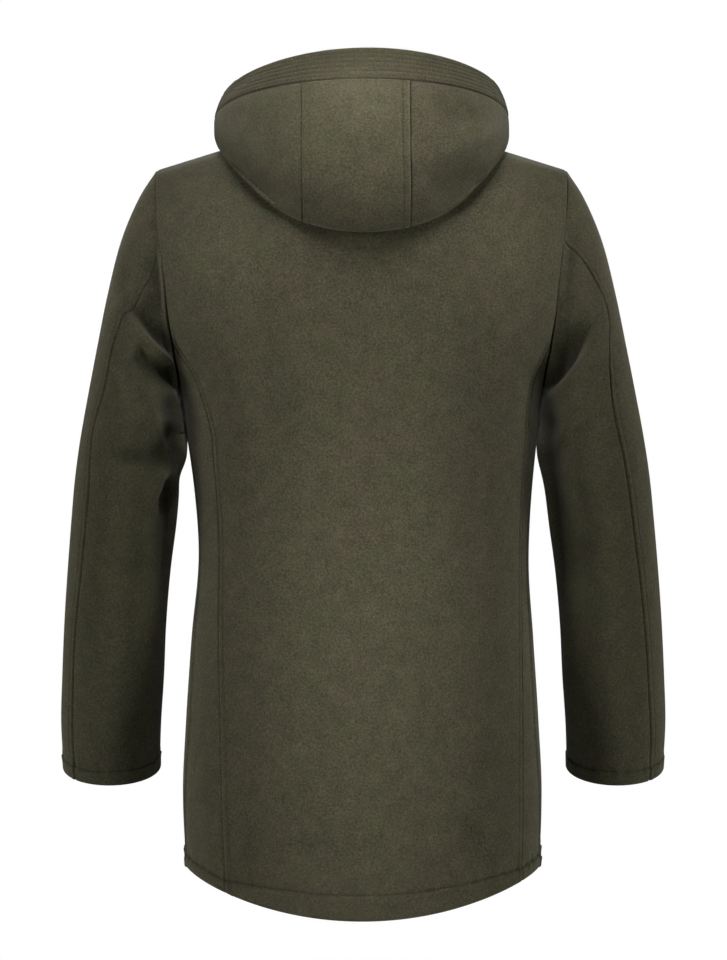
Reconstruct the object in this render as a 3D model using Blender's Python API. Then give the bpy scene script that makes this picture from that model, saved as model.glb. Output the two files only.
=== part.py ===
# A hooded wool parka, filled out as when worn but with no wearer, its hood lying down on the back.
# Metres, +Z up. The front faces -Y and the wearer's left is +X. The origin is the middle of the neck opening,
# level with the inner ends of the shoulder seams, where a wearer or a form holds the coat.
# Cloth pieces are walls: an outer sheet of points and an inner sheet one cloth thickness behind it.
import math

import bpy
import numpy as np

for thing in list(bpy.data.objects):
    bpy.data.objects.remove(thing, do_unlink=True)

# Driving sizes
CLOTH = 0.003
SEAM_GAP = 0.0003
NECK_HALF = 0.085
NECK_BACK = 0.055
NECK_FRONT = 0.098
SHOULDER_HALF = 0.229
SHOULDER_SLOPE = 0.31
SHOULDER_ROUND = 0.010
SQUARENESS = 0.20
HEM_SIDE = 0.8215
HEM_BACK_DIP = 0.0465
HEM_FRONT_DIP = 0.015
LAP_STATION = 158.0
LAP_OVER = NECK_HALF * math.sin(math.radians(180.0 - LAP_STATION))
LAP_UNDER = 0.028
LAP_STEP = 0.0048
LAP_STEP_END = LAP_OVER + 0.003
LAP_STEP_START = LAP_OVER + 0.013
HOOD_FRONT_GAP = 0.0005
BAND_PROUD = 0.0008
BAND_CLOTH = 0.0046
HOOD_CLEARANCE = 0.0045
HOOD_REST = 0.006
HOOD_TILT = 0.02
HOOD_TILT_LEVEL = 9.0
HOOD_STAND_LEVEL = 2.0
HOOD_CORNER_SAG = 0.6
ARMPIT_LEVEL = 7.0
ARMHOLE_REACH = 4.0
ARMHOLE_FULLNESS = 3.3
PRINCESS_LEVEL = 5.8
HEM_LEVEL_MAX = 14.0
SEAM_SETTLE = 0.5

# Sections of the body from the shoulder line down. drop is below the shoulder line, slope is the share of the
# shoulder's slope the section follows, shift is sideways, the rest are half sizes of the section.
BODY_COLUMNS = ("drop", "half_width", "back", "front", "slope", "shift")
BODY = (
    (0.000, 0.2700, 0.000, 0.000, 1.00, 0.0000),
    (0.010, 0.2700, 0.040, 0.036, 1.00, 0.0000),
    (0.035, 0.2690, 0.072, 0.066, 0.95, 0.0000),
    (0.075, 0.2670, 0.096, 0.090, 0.85, 0.0000),
    (0.130, 0.2600, 0.112, 0.113, 0.60, 0.0000),
    (0.190, 0.2460, 0.120, 0.130, 0.32, 0.0000),
    (0.245, 0.2230, 0.122, 0.138, 0.10, 0.0000),
    (0.290, 0.2025, 0.120, 0.140, 0.00, 0.0000),
    (0.360, 0.1932, 0.113, 0.137, 0.00, -0.0005),
    (0.480, 0.1863, 0.105, 0.131, 0.00, -0.0008),
    (0.570, 0.1915, 0.110, 0.130, 0.00, -0.0008),
    (0.660, 0.1972, 0.119, 0.132, 0.00, -0.0008),
    (0.740, 0.2008, 0.127, 0.136, 0.00, -0.0008),
    (0.810, 0.1994, 0.131, 0.138, 0.00, -0.0008),
    (0.875, 0.1978, 0.133, 0.139, 0.00, -0.0008),
)

# Angles round the body of the seams at each level, from the centre back, in degrees.
SEAM_COLUMNS = ("level", "princess_left", "princess_right", "side")
SEAMS = (
    (5.8, 68.2, 68.2, 90.0),
    (6.4, 64.6, 67.8, 90.0),
    (7.0, 62.3, 68.4, 90.0),
    (8.0, 58.0, 70.3, 84.0),
    (9.0, 58.2, 71.5, 80.5),
    (10.0, 55.5, 67.5, 78.0),
    (11.0, 51.8, 63.8, 77.0),
    (12.0, 49.5, 61.5, 79.0),
    (14.0, 48.0, 61.8, 86.0),
)

# Soft folds of the body, in levels along and degrees around: where they are, how far they reach, how much
# they lean and how deep they are (minus is a trough).
FOLD_COLUMNS = ("along", "around", "along_reach", "around_reach", "lean", "depth")
BODY_FOLDS = (
    (6.8, 31.0, 2.2, 8.0, 0.0, -0.0040),
    (6.4, -39.0, 2.0, 8.0, 0.0, -0.0040),
    (5.2, 48.0, 1.6, 9.0, 0.0, 0.0025),
    (5.2, -54.0, 1.6, 8.0, 0.0, 0.0025),
    (12.6, -35.0, 0.7, 7.0, 12.0, -0.0035),
    (12.5, 30.0, 0.6, 8.0, -10.0, -0.0025),
    (8.6, 150.0, 1.4, 11.0, 6.0, -0.0035),
    (8.4, -146.0, 1.2, 10.0, -5.0, -0.0035),
)

# Sections of a sleeve below the armhole: its outer and inner edge from behind, its middle and half depth.
SLEEVE_COLUMNS = ("outer_x", "outer_z", "inner_x", "inner_z", "middle_y", "half_depth")
SLEEVE = (
    (0.2500, -0.0780, 0.2042, -0.3020, 0.000, 0.0720),
    (0.2695, -0.1260, 0.2014, -0.3160, 0.003, 0.0750),
    (0.2840, -0.1850, 0.1990, -0.3310, 0.006, 0.0770),
    (0.2955, -0.2450, 0.1970, -0.3470, 0.010, 0.0770),
    (0.3060, -0.3000, 0.1959, -0.3640, 0.012, 0.0755),
    (0.3145, -0.3480, 0.2000, -0.3850, 0.013, 0.0735),
    (0.3205, -0.3900, 0.2043, -0.4100, 0.012, 0.0710),
    (0.3250, -0.4350, 0.2085, -0.4450, 0.009, 0.0680),
    (0.3300, -0.4900, 0.2155, -0.4960, 0.003, 0.0655),
    (0.3350, -0.5500, 0.2210, -0.5540, -0.008, 0.0625),
    (0.3390, -0.6100, 0.2245, -0.6130, -0.023, 0.0600),
    (0.3420, -0.6650, 0.2290, -0.6670, -0.040, 0.0575),
    (0.3405, -0.7180, 0.2315, -0.7190, -0.056, 0.0555),
)
SLEEVE_SPREAD = {"left": -0.002, "right": 0.002}

# Angles round the sleeve of its two seams at each section: 0 is outside, 90 behind, 180 against the body.
SLEEVE_SEAM_COLUMNS = ("section", "back_left", "back_right", "front")
SLEEVE_SEAMS = (
    (0.0, 71.0, 71.0, 235.0),
    (1.0, 79.0, 66.0, 230.0),
    (2.0, 74.0, 58.0, 225.0),
    (3.0, 59.0, 47.0, 220.0),
    (3.6, 52.0, 54.0, 217.0),
    (4.5, 50.0, 60.0, 211.0),
    (5.6, 43.0, 62.0, 203.0),
    (7.0, 50.0, 60.0, 197.0),
    (8.6, 49.0, 57.0, 193.0),
    (10.5, 43.5, 52.0, 193.0),
    (13.0, 46.0, 49.0, 195.0),
)

# Largest folds of the sleeves, with the same columns, in sections along and degrees around.
SLEEVE_FOLDS = {
    "left": (
        (4.2, 92.0, 0.45, 36.0, 55.0, -0.0060),
        (5.4, 115.0, 0.50, 34.0, 40.0, -0.0070),
        (7.2, 105.0, 0.60, 40.0, 0.0, -0.0045),
        (6.1, 140.0, 0.45, 20.0, 0.0, 0.0040),
        (6.6, 270.0, 0.60, 45.0, 0.0, -0.0060),
        (8.2, 285.0, 0.70, 40.0, 20.0, -0.0040),
    ),
    "right": (
        (4.8, 96.0, 0.55, 40.0, 55.0, -0.0085),
        (6.2, 135.0, 0.60, 22.0, 0.0, 0.0030),
        (7.6, 115.0, 0.70, 35.0, 15.0, -0.0035),
        (6.5, 268.0, 0.60, 45.0, 0.0, -0.0060),
        (8.0, 280.0, 0.70, 40.0, -20.0, -0.0040),
    ),
}

# Sections of the hood from the neck seam, down under the pouch, round its fold and up to the rim. Heights are
# at the centre back, the side and the centre front.
HOOD_COLUMNS = ("half_width", "back", "front", "z_back", "z_side", "z_front", "square",
                "shift", "seam_left", "seam_right")
HOOD = (
    (0.0850, 0.0550, 0.0980, -0.0220, 0.0000, -0.0950, 0.00, 0.0000, 0.0580, 0.0580),
    (0.0890, 0.0620, 0.1000, -0.0060, 0.0100, -0.0870, 0.00, 0.0000, 0.0590, 0.0570),
    (0.0980, 0.0725, 0.1020, 0.0020, 0.0170, -0.0810, 0.05, 0.0000, 0.0600, 0.0560),
    (0.1120, 0.0850, 0.1040, -0.0160, 0.0130, -0.0765, 0.05, -0.0012, 0.0620, 0.0540),
    (0.1280, 0.0990, 0.1060, -0.0500, 0.0020, -0.0730, 0.00, -0.0028, 0.0646, 0.0516),
    (0.1400, 0.1130, 0.1080, -0.0900, -0.0085, -0.0700, -0.05, -0.0040, 0.0668, 0.0494),
    (0.1500, 0.1320, 0.1100, -0.1250, -0.0170, -0.0675, -0.10, -0.0040, 0.0673, 0.0493),
    (0.1600, 0.1480, 0.1115, -0.1100, -0.0110, -0.0650, -0.10, -0.0040, 0.0673, 0.0493),
    (0.1650, 0.1620, 0.1125, -0.0700, -0.0030, -0.0625, 0.05, -0.0032, 0.0665, 0.0500),
    (0.1650, 0.1680, 0.1130, -0.0230, 0.0030, -0.0605, 0.15, -0.0016, 0.0650, 0.0506),
    (0.1648, 0.1630, 0.1135, 0.0150, 0.0080, -0.0590, 0.15, 0.0000, 0.0636, 0.0520),
    (0.1635, 0.1520, 0.1140, 0.0390, 0.0115, -0.0575, 0.06, 0.0000, 0.0636, 0.0520),
    (0.1600, 0.1445, 0.1170, 0.0560, 0.0235, -0.0440, -0.05, 0.0000, 0.0636, 0.0520),
    (0.1545, 0.1360, 0.1190, 0.0735, 0.0350, -0.0310, -0.15, 0.0000, 0.0636, 0.0520),
)
BAND_SEAM_LEVEL = 11.0
RIM_LEVEL = 13.0

# Spacing of the sheets' points. Neighbouring pieces share theirs along a seam.
NECK_STATIONS = (0.0, 20.0, 43.0, 62.0, 90.0)
NECK_FRONT_STATIONS = (90.0, 112.0, 136.0, LAP_STATION)
SHOULDER_STATIONS = (0.25, 0.50, 0.75, 1.0)
UPPER_ROWS = 8
LOWER_ROWS = 13
FRONT_BENDS = (0.0, 0.13, 0.27, 0.41, 0.55, 0.69, 0.80, 0.885, 0.943, 0.983, 1.0)
FRONT_UPPER_ROWS = len(FRONT_BENDS) - 1
SIDE_COLUMNS = 6
SLEEVE_ROWS = (0.0, 0.5, 1.0, 2.0, 3.0, 3.6, 4.2, 4.8, 5.4, 6.0, 6.5, 7.0, 7.6,
               8.3, 9.2, 10.2, 11.2, 12.2, 13.0)
HOOD_ROWS = (0.0, 0.7, 1.4, 2.0, 2.7, 3.6, 4.6, 5.4, 6.0, 6.5, 7.0, 7.7, 8.5, 9.3, 10.2, 11.0)
HOOD_NECK_TURNS = (0.0, 10.0, 20.0, 31.5, 43.0)
HOOD_SIDE_ANGLES = (43.0, 52.0, 62.0, 71.0, 81.0, 90.0, 101.0, 112.0, 124.0, 136.0, 147.0, 158.0, 169.0)
BAND_ROWS = (11.0, 11.7, 12.4, 13.0)

CLOTH_COLOUR = (0.075, 0.070, 0.045, 1.0)
CLOTH_ROUGHNESS = 0.95


def spline(columns, rows, along=None):
    """Smooth curves through a table, one for each column, run by row number or by the column named along."""
    values = np.array(rows, dtype=float)
    if along is None:
        places = np.arange(len(rows), dtype=float)
    else:
        places = values[:, columns.index(along)]
    steps = np.diff(places)
    curves = {}
    for number, name in enumerate(columns):
        heights = values[:, number]
        rates = np.diff(heights) / steps
        slopes = np.zeros(len(rows))
        slopes[0] = rates[0]
        slopes[-1] = rates[-1]
        for i in range(1, len(rows) - 1):
            if rates[i - 1] * rates[i] > 0:
                before = 2 * steps[i] + steps[i - 1]
                after = steps[i] + 2 * steps[i - 1]
                slopes[i] = (before + after) / (before / rates[i - 1] + after / rates[i])
        curves[name] = (places, heights, slopes)
    return curves


def read(curves, name, at):
    places, heights, slopes = curves[name]
    at = min(max(at, places[0]), places[-1])
    i = min(max(int(np.searchsorted(places, at)) - 1, 0), len(places) - 2)
    step = places[i + 1] - places[i]
    t = (at - places[i]) / step
    start = heights[i] * (1 + 2 * t) * (1 - t) ** 2 + slopes[i] * step * t * (1 - t) ** 2
    end = heights[i + 1] * t * t * (3 - 2 * t) + slopes[i + 1] * step * t * t * (t - 1)
    return start + end


BODY_AT = spline(BODY_COLUMNS, BODY)
SEAM_AT = spline(SEAM_COLUMNS, SEAMS, "level")
SLEEVE_SEAM_AT = spline(SLEEVE_SEAM_COLUMNS, SLEEVE_SEAMS, "section")
HOOD_AT = spline(HOOD_COLUMNS, HOOD)


def unit(vector):
    return vector / max(np.linalg.norm(vector), 1e-12)


def ease(t):
    t = min(max(t, 0.0), 1.0)
    return t * t * (3 - 2 * t)


def fold_depth(folds, along, around):
    """Sum of soft ridges and troughs. lean slides a fold along as it goes around."""
    total = 0.0
    for row in folds:
        fold = dict(zip(FOLD_COLUMNS, row))
        beside = (around - fold["around"] + 180.0) % 360.0 - 180.0
        across = along - fold["along"] - beside * fold["lean"] / 3000.0
        reach = (across / fold["along_reach"]) ** 2 + (beside / fold["around_reach"]) ** 2
        total += fold["depth"] * math.exp(-reach)
    return total


# Body

def slope_run(x):
    """Distance from the neck point along the shoulder's slope, rounded off near the neck."""
    past_neck = abs(x) - NECK_HALF
    return 0.5 * (past_neck + math.sqrt(past_neck * past_neck + SHOULDER_ROUND ** 2))


def body(angle, level):
    """Outer sheet of the body. angle is 0 at the centre back, 90 at the wearer's left, 180 at the front."""
    turn = math.radians(angle)
    across = math.sin(turn)
    along = math.cos(turn)
    half = read(BODY_AT, "half_width", level)
    depth = read(BODY_AT, "back" if along > 0 else "front", level)
    x = half * across
    y = depth * along * (1 + SQUARENESS * across * across)
    z = -read(BODY_AT, "drop", level) - read(BODY_AT, "slope", level) * SHOULDER_SLOPE * slope_run(x)
    x += read(BODY_AT, "shift", level)
    outward = unit(np.array((across / half, along / max(depth, 0.02), 0.0)))
    return np.array((x, y, z)) + outward * fold_depth(BODY_FOLDS, level, angle)


def body_normal(angle, level):
    if level < 1e-6:
        lean = SHOULDER_SLOPE if math.sin(math.radians(angle)) > 0 else -SHOULDER_SLOPE
        return unit(np.array((lean, 0.0, 1.0)))
    below = min(level + 0.02, HEM_LEVEL_MAX)
    above = max(level - 0.02, 0.001)
    beside = body(angle + 0.2, level) - body(angle - 0.2, level)
    downward = body(angle, below) - body(angle, above)
    normal = unit(np.cross(downward, beside))
    outward = np.array((math.sin(math.radians(angle)), math.cos(math.radians(angle)), 0.3))
    return normal if normal @ outward > 0 else -normal


def armhole_angle(level):
    """Angle of the armhole's back edge from the centre back, on the wearer's left."""
    tip = math.degrees(math.asin(SHOULDER_HALF / BODY[0][1]))
    share = min(level / ARMPIT_LEVEL, 1.0)
    return 90.0 - (90.0 - tip) * math.sqrt(1 - share ** ARMHOLE_FULLNESS)


def princess_angle(level, side):
    return read(SEAM_AT, "princess_" + side, level)


def side_angle(level):
    return read(SEAM_AT, "side", level)


def hem_level(angle):
    """Level at which a column of the body reaches the hem."""
    along = math.cos(math.radians(angle))
    dip = HEM_BACK_DIP if along > 0 else HEM_FRONT_DIP
    wanted = HEM_SIDE + dip * along * along
    low, high = ARMPIT_LEVEL, HEM_LEVEL_MAX
    for _ in range(40):
        middle = 0.5 * (low + high)
        if read(BODY_AT, "drop", middle) < wanted:
            low = middle
        else:
            high = middle
    return 0.5 * (low + high)


def coat_level(x, y):
    """Level at which the body's upper sheet passes through a point seen from above, with its angle there."""
    low, high = 0.0, 6.0
    for _ in range(40):
        middle = 0.5 * (low + high)
        angle = math.degrees(math.asin(min(abs(x) / read(BODY_AT, "half_width", middle), 1.0)))
        if y < 0:
            angle = 180.0 - angle
        if abs(body(angle, middle)[1]) < abs(y):
            low = middle
        else:
            high = middle
    level = 0.5 * (low + high)
    angle = math.degrees(math.asin(min(abs(x) / read(BODY_AT, "half_width", level), 1.0)))
    return level, (angle if y >= 0 else 180.0 - angle)


def neck_place(station):
    """Level and angle of the neckline at a station round the neck, on the wearer's left."""
    turn = math.radians(station)
    x = NECK_HALF * math.sin(turn)
    y = (NECK_BACK if station <= 90 else NECK_FRONT) * math.cos(turn)
    if abs(station - 90.0) < 1e-6:
        return 0.0, math.degrees(math.asin(NECK_HALF / BODY[0][1]))
    return coat_level(x, y)


# Sleeves

def armhole_height(level):
    return body(armhole_angle(level), level)[2]


ARMHOLE_LEVELS = np.linspace(0.0, ARMPIT_LEVEL, 141)
ARMHOLE_SHARES = np.array([armhole_height(level) for level in ARMHOLE_LEVELS])
ARMHOLE_SHARES = (ARMHOLE_SHARES - ARMHOLE_SHARES[0]) / (ARMHOLE_SHARES[-1] - ARMHOLE_SHARES[0])
ARMHOLE_SHARES = np.maximum.accumulate(ARMHOLE_SHARES)


def armhole_turn(level, back=True):
    """Angle round the sleeve of the armhole's point at a level: 0 at the shoulder, 180 at the armpit."""
    share = float(np.interp(level, ARMHOLE_LEVELS, ARMHOLE_SHARES))
    turn = math.degrees(math.acos(1 - 2 * min(max(share, 0.0), 1.0)))
    return turn if back else 360.0 - turn


def armhole_place(turn):
    """Level and angle on the body of the left armhole's point at an angle round the sleeve."""
    turn = turn % 360.0
    back = turn <= 180.0
    share = 0.5 * (1 - math.cos(math.radians(turn)))
    level = float(np.interp(share, ARMHOLE_SHARES, ARMHOLE_LEVELS))
    angle = armhole_angle(level)
    return level, (angle if back else 180.0 - angle)


def armhole(turn):
    level, angle = armhole_place(turn)
    return body(angle, level)


SHOULDER_TIP = armhole(0.0)
ARMPIT = armhole(180.0)


def section_middles(side):
    middles = []
    for number, row in enumerate(SLEEVE):
        spread = SLEEVE_SPREAD[side] * ease(number / (len(SLEEVE) - 1))
        outer = np.array((row[0] + spread, row[4], row[1]))
        inner = np.array((row[2] + spread, row[4], row[3]))
        middles.append((outer, inner, row[5]))
    return middles


def sleeve_line(turn, side):
    """One lengthwise line of the sleeve: its point in the armhole, then one in every section."""
    sections = section_middles(side)
    points = [armhole(turn)]
    centres = [0.5 * (outer + inner) for outer, inner, _ in sections]
    angle = math.radians(turn)
    for number, (outer, inner, half_depth) in enumerate(sections):
        out = 0.5 * (outer - inner)
        before = centres[max(number - 1, 0)]
        after = centres[min(number + 1, len(centres) - 1)]
        axis = unit(after - before)
        behind = np.array((0.0, 1.0, 0.0))
        if number > 3:
            behind = unit(np.cross(unit(out), axis))
            if behind[1] < 0:
                behind = -behind
        oval = centres[number] + out * math.cos(angle) + behind * half_depth * math.sin(angle)
        share = 0.5 * (1 - math.cos(angle))
        moved = points[0] + (outer - SHOULDER_TIP) * (1 - share) + (inner - ARMPIT) * share
        own = ease(number / ARMHOLE_REACH)
        points.append(moved + (oval - moved) * own)
    return np.array(points), centres


SLEEVE_LINES = {}


def sleeve(turn, section, side):
    """Outer sheet of the left sleeve's form, with the folds of the named side."""
    key = (round(turn, 4), side)
    if key not in SLEEVE_LINES:
        SLEEVE_LINES[key] = sleeve_line(turn, side)
    points, centres = SLEEVE_LINES[key]
    last = len(points) - 1
    i = min(max(int(section), 0), last - 1)
    t = section - i
    before = points[max(i - 1, 0)]
    after = points[min(i + 2, last)]
    start_slope = 0.5 * (points[i + 1] - before) if i > 0 else points[i + 1] - points[i]
    end_slope = 0.5 * (after - points[i])
    point = (points[i] * (1 + 2 * t) * (1 - t) ** 2 + start_slope * t * (1 - t) ** 2
             + points[i + 1] * t * t * (3 - 2 * t) + end_slope * t * t * (t - 1))
    if section < 0.3:
        return point
    centre = centres[min(max(int(round(section)) - 1, 0), len(centres) - 1)]
    outward = unit((point - centre) * np.array((1.0, 1.0, 0.3)))
    return point + outward * fold_depth(SLEEVE_FOLDS[side], section, turn)


def sleeve_normal(turn, section, side):
    last = len(SLEEVE)
    up = max(section - 0.05, 0.0)
    down = min(section + 0.05, last)
    round_sleeve = sleeve(turn + 1.0, section, side) - sleeve(turn - 1.0, section, side)
    along = sleeve(turn, down, side) - sleeve(turn, up, side)
    return unit(np.cross(along, round_sleeve))


def armhole_seam(turn, side):
    """Seam of the armhole: middle point, shared wall direction and the direction towards the sleeve."""
    level, angle = armhole_place(turn)
    point = body(angle, level)
    from_body = body_normal(angle, level)
    from_sleeve = sleeve_normal(turn, 0.0, side)
    shared = unit(from_body + from_sleeve)
    stretch = min(1.0 / max(shared @ from_body, 0.3), 1.5)
    tangent = unit(armhole(turn + 1.0) - armhole(turn - 1.0))
    towards = unit(np.cross(tangent, shared))
    if towards[0] < 0:
        towards = -towards
    return point, shared * stretch, towards


# Hood

COAT_LEVELS = np.linspace(0.0, 6.5, 105)
COAT = {name: np.array([read(BODY_AT, name, level) for level in COAT_LEVELS]) for name in BODY_COLUMNS}


def clear_of_coat(point, clearance, rest):
    """Moves a point of the hood out until it rests clear of the coat's shoulders, back and chest."""
    across = np.minimum(abs(point[0]) / COAT["half_width"], 1.0)
    depth = COAT["back"] if point[1] >= 0 else -COAT["front"]
    y = depth * np.sqrt(1 - across * across) * (1 + SQUARENESS * across * across)
    z = -COAT["drop"] - COAT["slope"] * SHOULDER_SLOPE * slope_run(point[0])
    line = np.stack((y, z), axis=1)
    here = point[1:]
    steps = line[1:] - line[:-1]
    shares = np.sum((here - line[:-1]) * steps, axis=1) / np.sum(steps * steps, axis=1)
    nearest = line[:-1] + steps * np.clip(shares, 0.0, 1.0)[:, None]
    best = int(np.argmin(np.sum((nearest - here) ** 2, axis=1)))
    step = steps[best] / np.linalg.norm(steps[best])
    normal = np.array((-step[1], step[0])) if point[1] >= 0 else np.array((step[1], -step[0]))
    gap = (here - nearest[best]) @ normal
    blend = max(rest - abs(gap - clearance), 0.0) / rest
    wanted = max(gap, clearance) + blend * blend * rest / 4
    return point + np.array((0.0, *normal)) * (wanted - gap)


def hood_ring(turn, level):
    """A point of the hood's sections, before it rests on the coat."""
    angle = math.radians(turn)
    across = math.sin(angle)
    along = math.cos(angle)
    square = read(HOOD_AT, "square", level) if along > 0 else 0.0
    side_z = read(HOOD_AT, "z_side", level)
    end_z = read(HOOD_AT, "z_back" if along > 0 else "z_front", level)
    depth = read(HOOD_AT, "back" if along > 0 else "front", level)
    x = read(HOOD_AT, "half_width", level) * across + read(HOOD_AT, "shift", level) * max(along, 0.0)
    y = depth * along * (1 + square * across * across)
    z = side_z + (end_z - side_z) * abs(along) * (1 + HOOD_CORNER_SAG * square * across * across)
    z -= HOOD_TILT * x * ease((level - HOOD_TILT_LEVEL) / (RIM_LEVEL - HOOD_TILT_LEVEL))
    return np.array((x, y, z))


def neckline(turn):
    """Point of the coat's neckline at a turn round the neck."""
    left = (turn + 180.0) % 360.0 - 180.0
    level, angle = neck_place(abs(left))
    return body(angle, level) * np.array((1.0 if left >= 0 else -1.0, 1.0, 1.0))


def hood(turn, level):
    """Outer sheet of the hood. turn is 0 at the centre back, 90 at the wearer's left, 180 at the front."""
    point = hood_ring(turn, level)
    if level < HOOD_STAND_LEVEL:
        point = point + (neckline(turn) - hood_ring(turn, 0.0)) * (1 - ease(level / HOOD_STAND_LEVEL))
    if level > BAND_SEAM_LEVEL - 1:
        return point
    start = ease(level / 1.2)
    return clear_of_coat(point, HOOD_CLEARANCE * start, 0.0005 + HOOD_REST * start)


def hood_normal(turn, level):
    up = min(level + 0.05, RIM_LEVEL)
    down = max(level - 0.05, 0.0)
    round_hood = hood(turn + 0.5, level) - hood(turn - 0.5, level)
    along = hood(turn, up) - hood(turn, down)
    return unit(np.cross(along, round_hood))


def neck_seam(turn):
    """Seam of the neck: point on the coat's neckline, shared wall direction, direction towards the hood."""
    left = (turn + 180.0) % 360.0 - 180.0
    station = abs(left)
    level, angle = neck_place(station)
    point = neckline(turn)
    from_body = body_normal(angle, level)
    if left < 0:
        from_body = from_body * np.array((-1.0, 1.0, 1.0))
    from_hood = hood_normal(turn, 0.3)
    shared = unit(from_body + from_hood)
    stretch = min(1.0 / max(shared @ from_body, 0.3), 1.4)
    tangent = unit(hood(turn + 1.0, 0.0) - hood(turn - 1.0, 0.0))
    towards = unit(np.cross(tangent, shared))
    if towards[2] < 0:
        towards = -towards
    return point, shared * stretch, towards


# Sheets and walls

def cloth_material(name):
    material = bpy.data.materials.new(name)
    material.use_nodes = True
    shader = material.node_tree.nodes["Principled BSDF"]
    shader.inputs["Base Color"].default_value = CLOTH_COLOUR
    shader.inputs["Roughness"].default_value = CLOTH_ROUGHNESS
    material.diffuse_color = CLOTH_COLOUR
    return material


COLLECTION = bpy.data.collections.new("parka")
bpy.context.scene.collection.children.link(COLLECTION)


def wall(name, outer, inner):
    """One closed cloth piece from its outer and inner sheets, two grids of points of the same shape."""
    outer = np.asarray(outer)
    inner = np.asarray(inner)
    rows, columns = outer.shape[:2]
    points = np.concatenate((outer.reshape(-1, 3), inner.reshape(-1, 3)))
    behind = rows * columns
    faces = []
    for i in range(rows - 1):
        for j in range(columns - 1):
            a = i * columns + j
            ring = (a, a + 1, a + columns + 1, a + columns)
            faces.append(ring)
            faces.append(tuple(behind + v for v in reversed(ring)))
    edge = [j for j in range(columns)]
    edge += [i * columns + columns - 1 for i in range(1, rows)]
    edge += [(rows - 1) * columns + j for j in range(columns - 2, -1, -1)]
    edge += [i * columns for i in range(rows - 2, 0, -1)]
    order = points @ np.array((0.11, 0.23, 1.0))
    for here, there in zip(edge, edge[1:] + edge[:1]):
        if order[here] > order[there]:
            faces.append((there, here, behind + there))
            faces.append((here, behind + here, behind + there))
        else:
            faces.append((there, here, behind + here))
            faces.append((there, behind + here, behind + there))
    volume = 0.0
    for face in faces:
        corner = points[face[0]]
        for second, third in zip(face[1:], face[2:]):
            volume += corner @ np.cross(points[second], points[third])
    if volume < 0:
        faces = [tuple(reversed(face)) for face in faces]
    mesh = bpy.data.meshes.new(name)
    mesh.from_pydata([tuple(p) for p in points], [], faces)
    mesh.update()
    piece = bpy.data.objects.new(name, mesh)
    piece.data.materials.append(cloth_material(name + "_wool"))
    COLLECTION.objects.link(piece)
    return piece


def mirrored(grid):
    return np.asarray(grid) * np.array((-1.0, 1.0, 1.0))


def sheet_pair(grid_points, grid_normals):
    outer = np.array(grid_points)
    inner = outer - CLOTH * np.array(grid_normals)
    return outer, inner


def shifted_angle(angle, level, distance):
    """Angle moved round the body by a distance along the cloth."""
    step = np.linalg.norm(body(angle + 0.1, level) - body(angle - 0.1, level)) / 0.2
    return angle + distance / step


def round_body(angle, level):
    return unit(body(angle + 0.2, level) - body(angle - 0.2, level))


def upper_levels(top):
    return [top + (PRINCESS_LEVEL - top) * i / UPPER_ROWS for i in range(UPPER_ROWS + 1)]


def lower_level(angle, start, row):
    return start + (hem_level(angle) - start) * row / LOWER_ROWS


def back_stations():
    """Top ends of the back's columns on one side: level, angle, share of the way to the armhole."""
    tip = armhole_angle(0.0)
    stations = []
    for station in NECK_STATIONS:
        level, angle = neck_place(station)
        stations.append((level, angle, station))
    for share in SHOULDER_STATIONS:
        x = NECK_HALF + (SHOULDER_HALF - NECK_HALF) * share
        stations.append((0.0, math.degrees(math.asin(x / BODY[0][1])), None))
    return [(level, angle, angle / tip, station) for level, angle, station in stations]


def back_column(number, stations, side):
    """One column of the back centre panel from its top to the hem, with wall directions."""
    level_top, _, share_top, station = stations[number]
    share_low = number / (len(stations) - 1)
    share_low = 0.5 * (share_low + share_top)
    if number == len(stations) - 1:
        share_low = 1.0
    sign = 1.0 if side == "left" else -1.0
    points = []
    directions = []
    for row, level in enumerate(upper_levels(level_top)):
        share = share_top + (share_low - share_top) * ease(row / UPPER_ROWS)
        angle = share * armhole_angle(level)
        normal = body_normal(sign * angle, level)
        point = body(sign * angle, level)
        if share > 0.999:
            middle, shared, towards = armhole_seam(armhole_turn(level), side)
            flip = np.array((sign, 1.0, 1.0))
            point = middle - towards * SEAM_GAP / 2
            if row == UPPER_ROWS:
                point = point - round_body(angle, level) * SEAM_GAP / 2
            point = point * flip
            normal = shared * flip
        elif row == 0 and station is not None:
            middle, shared, towards = neck_seam(sign * station)
            point = middle - towards * SEAM_GAP / 2
            normal = shared
        if row == 0 and level_top < 1e-6:
            point = point + np.array((0.0, SEAM_GAP / 2, 0.0))
        points.append(point)
        directions.append(normal)
    for row in range(1, LOWER_ROWS + 1):
        level = PRINCESS_LEVEL
        for _ in range(3):
            angle = share_low * princess_angle(level, side)
            level = lower_level(sign * angle, PRINCESS_LEVEL, row)
        if share_low > 0.999:
            angle = shifted_angle(angle, level, -SEAM_GAP / 2)
        points.append(body(sign * angle, level))
        directions.append(body_normal(sign * angle, level))
    return points, directions


def make_back_centre():
    stations = back_stations()
    columns = [back_column(n, stations, "right") for n in range(len(stations) - 1, 0, -1)]
    columns += [back_column(n, stations, "left") for n in range(len(stations))]
    points = np.array([column[0] for column in columns]).transpose(1, 0, 2)
    directions = np.array([column[1] for column in columns]).transpose(1, 0, 2)
    return wall("back_centre", *sheet_pair(points, directions))


def side_top_level(share, side):
    """Level where a column of the back side panel meets the armhole."""
    low, high = PRINCESS_LEVEL, ARMPIT_LEVEL
    for _ in range(40):
        middle = 0.5 * (low + high)
        seam = princess_angle(middle, side)
        if seam + (90.0 - seam) * share > armhole_angle(middle):
            low = middle
        else:
            high = middle
    return 0.5 * (low + high)


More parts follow.
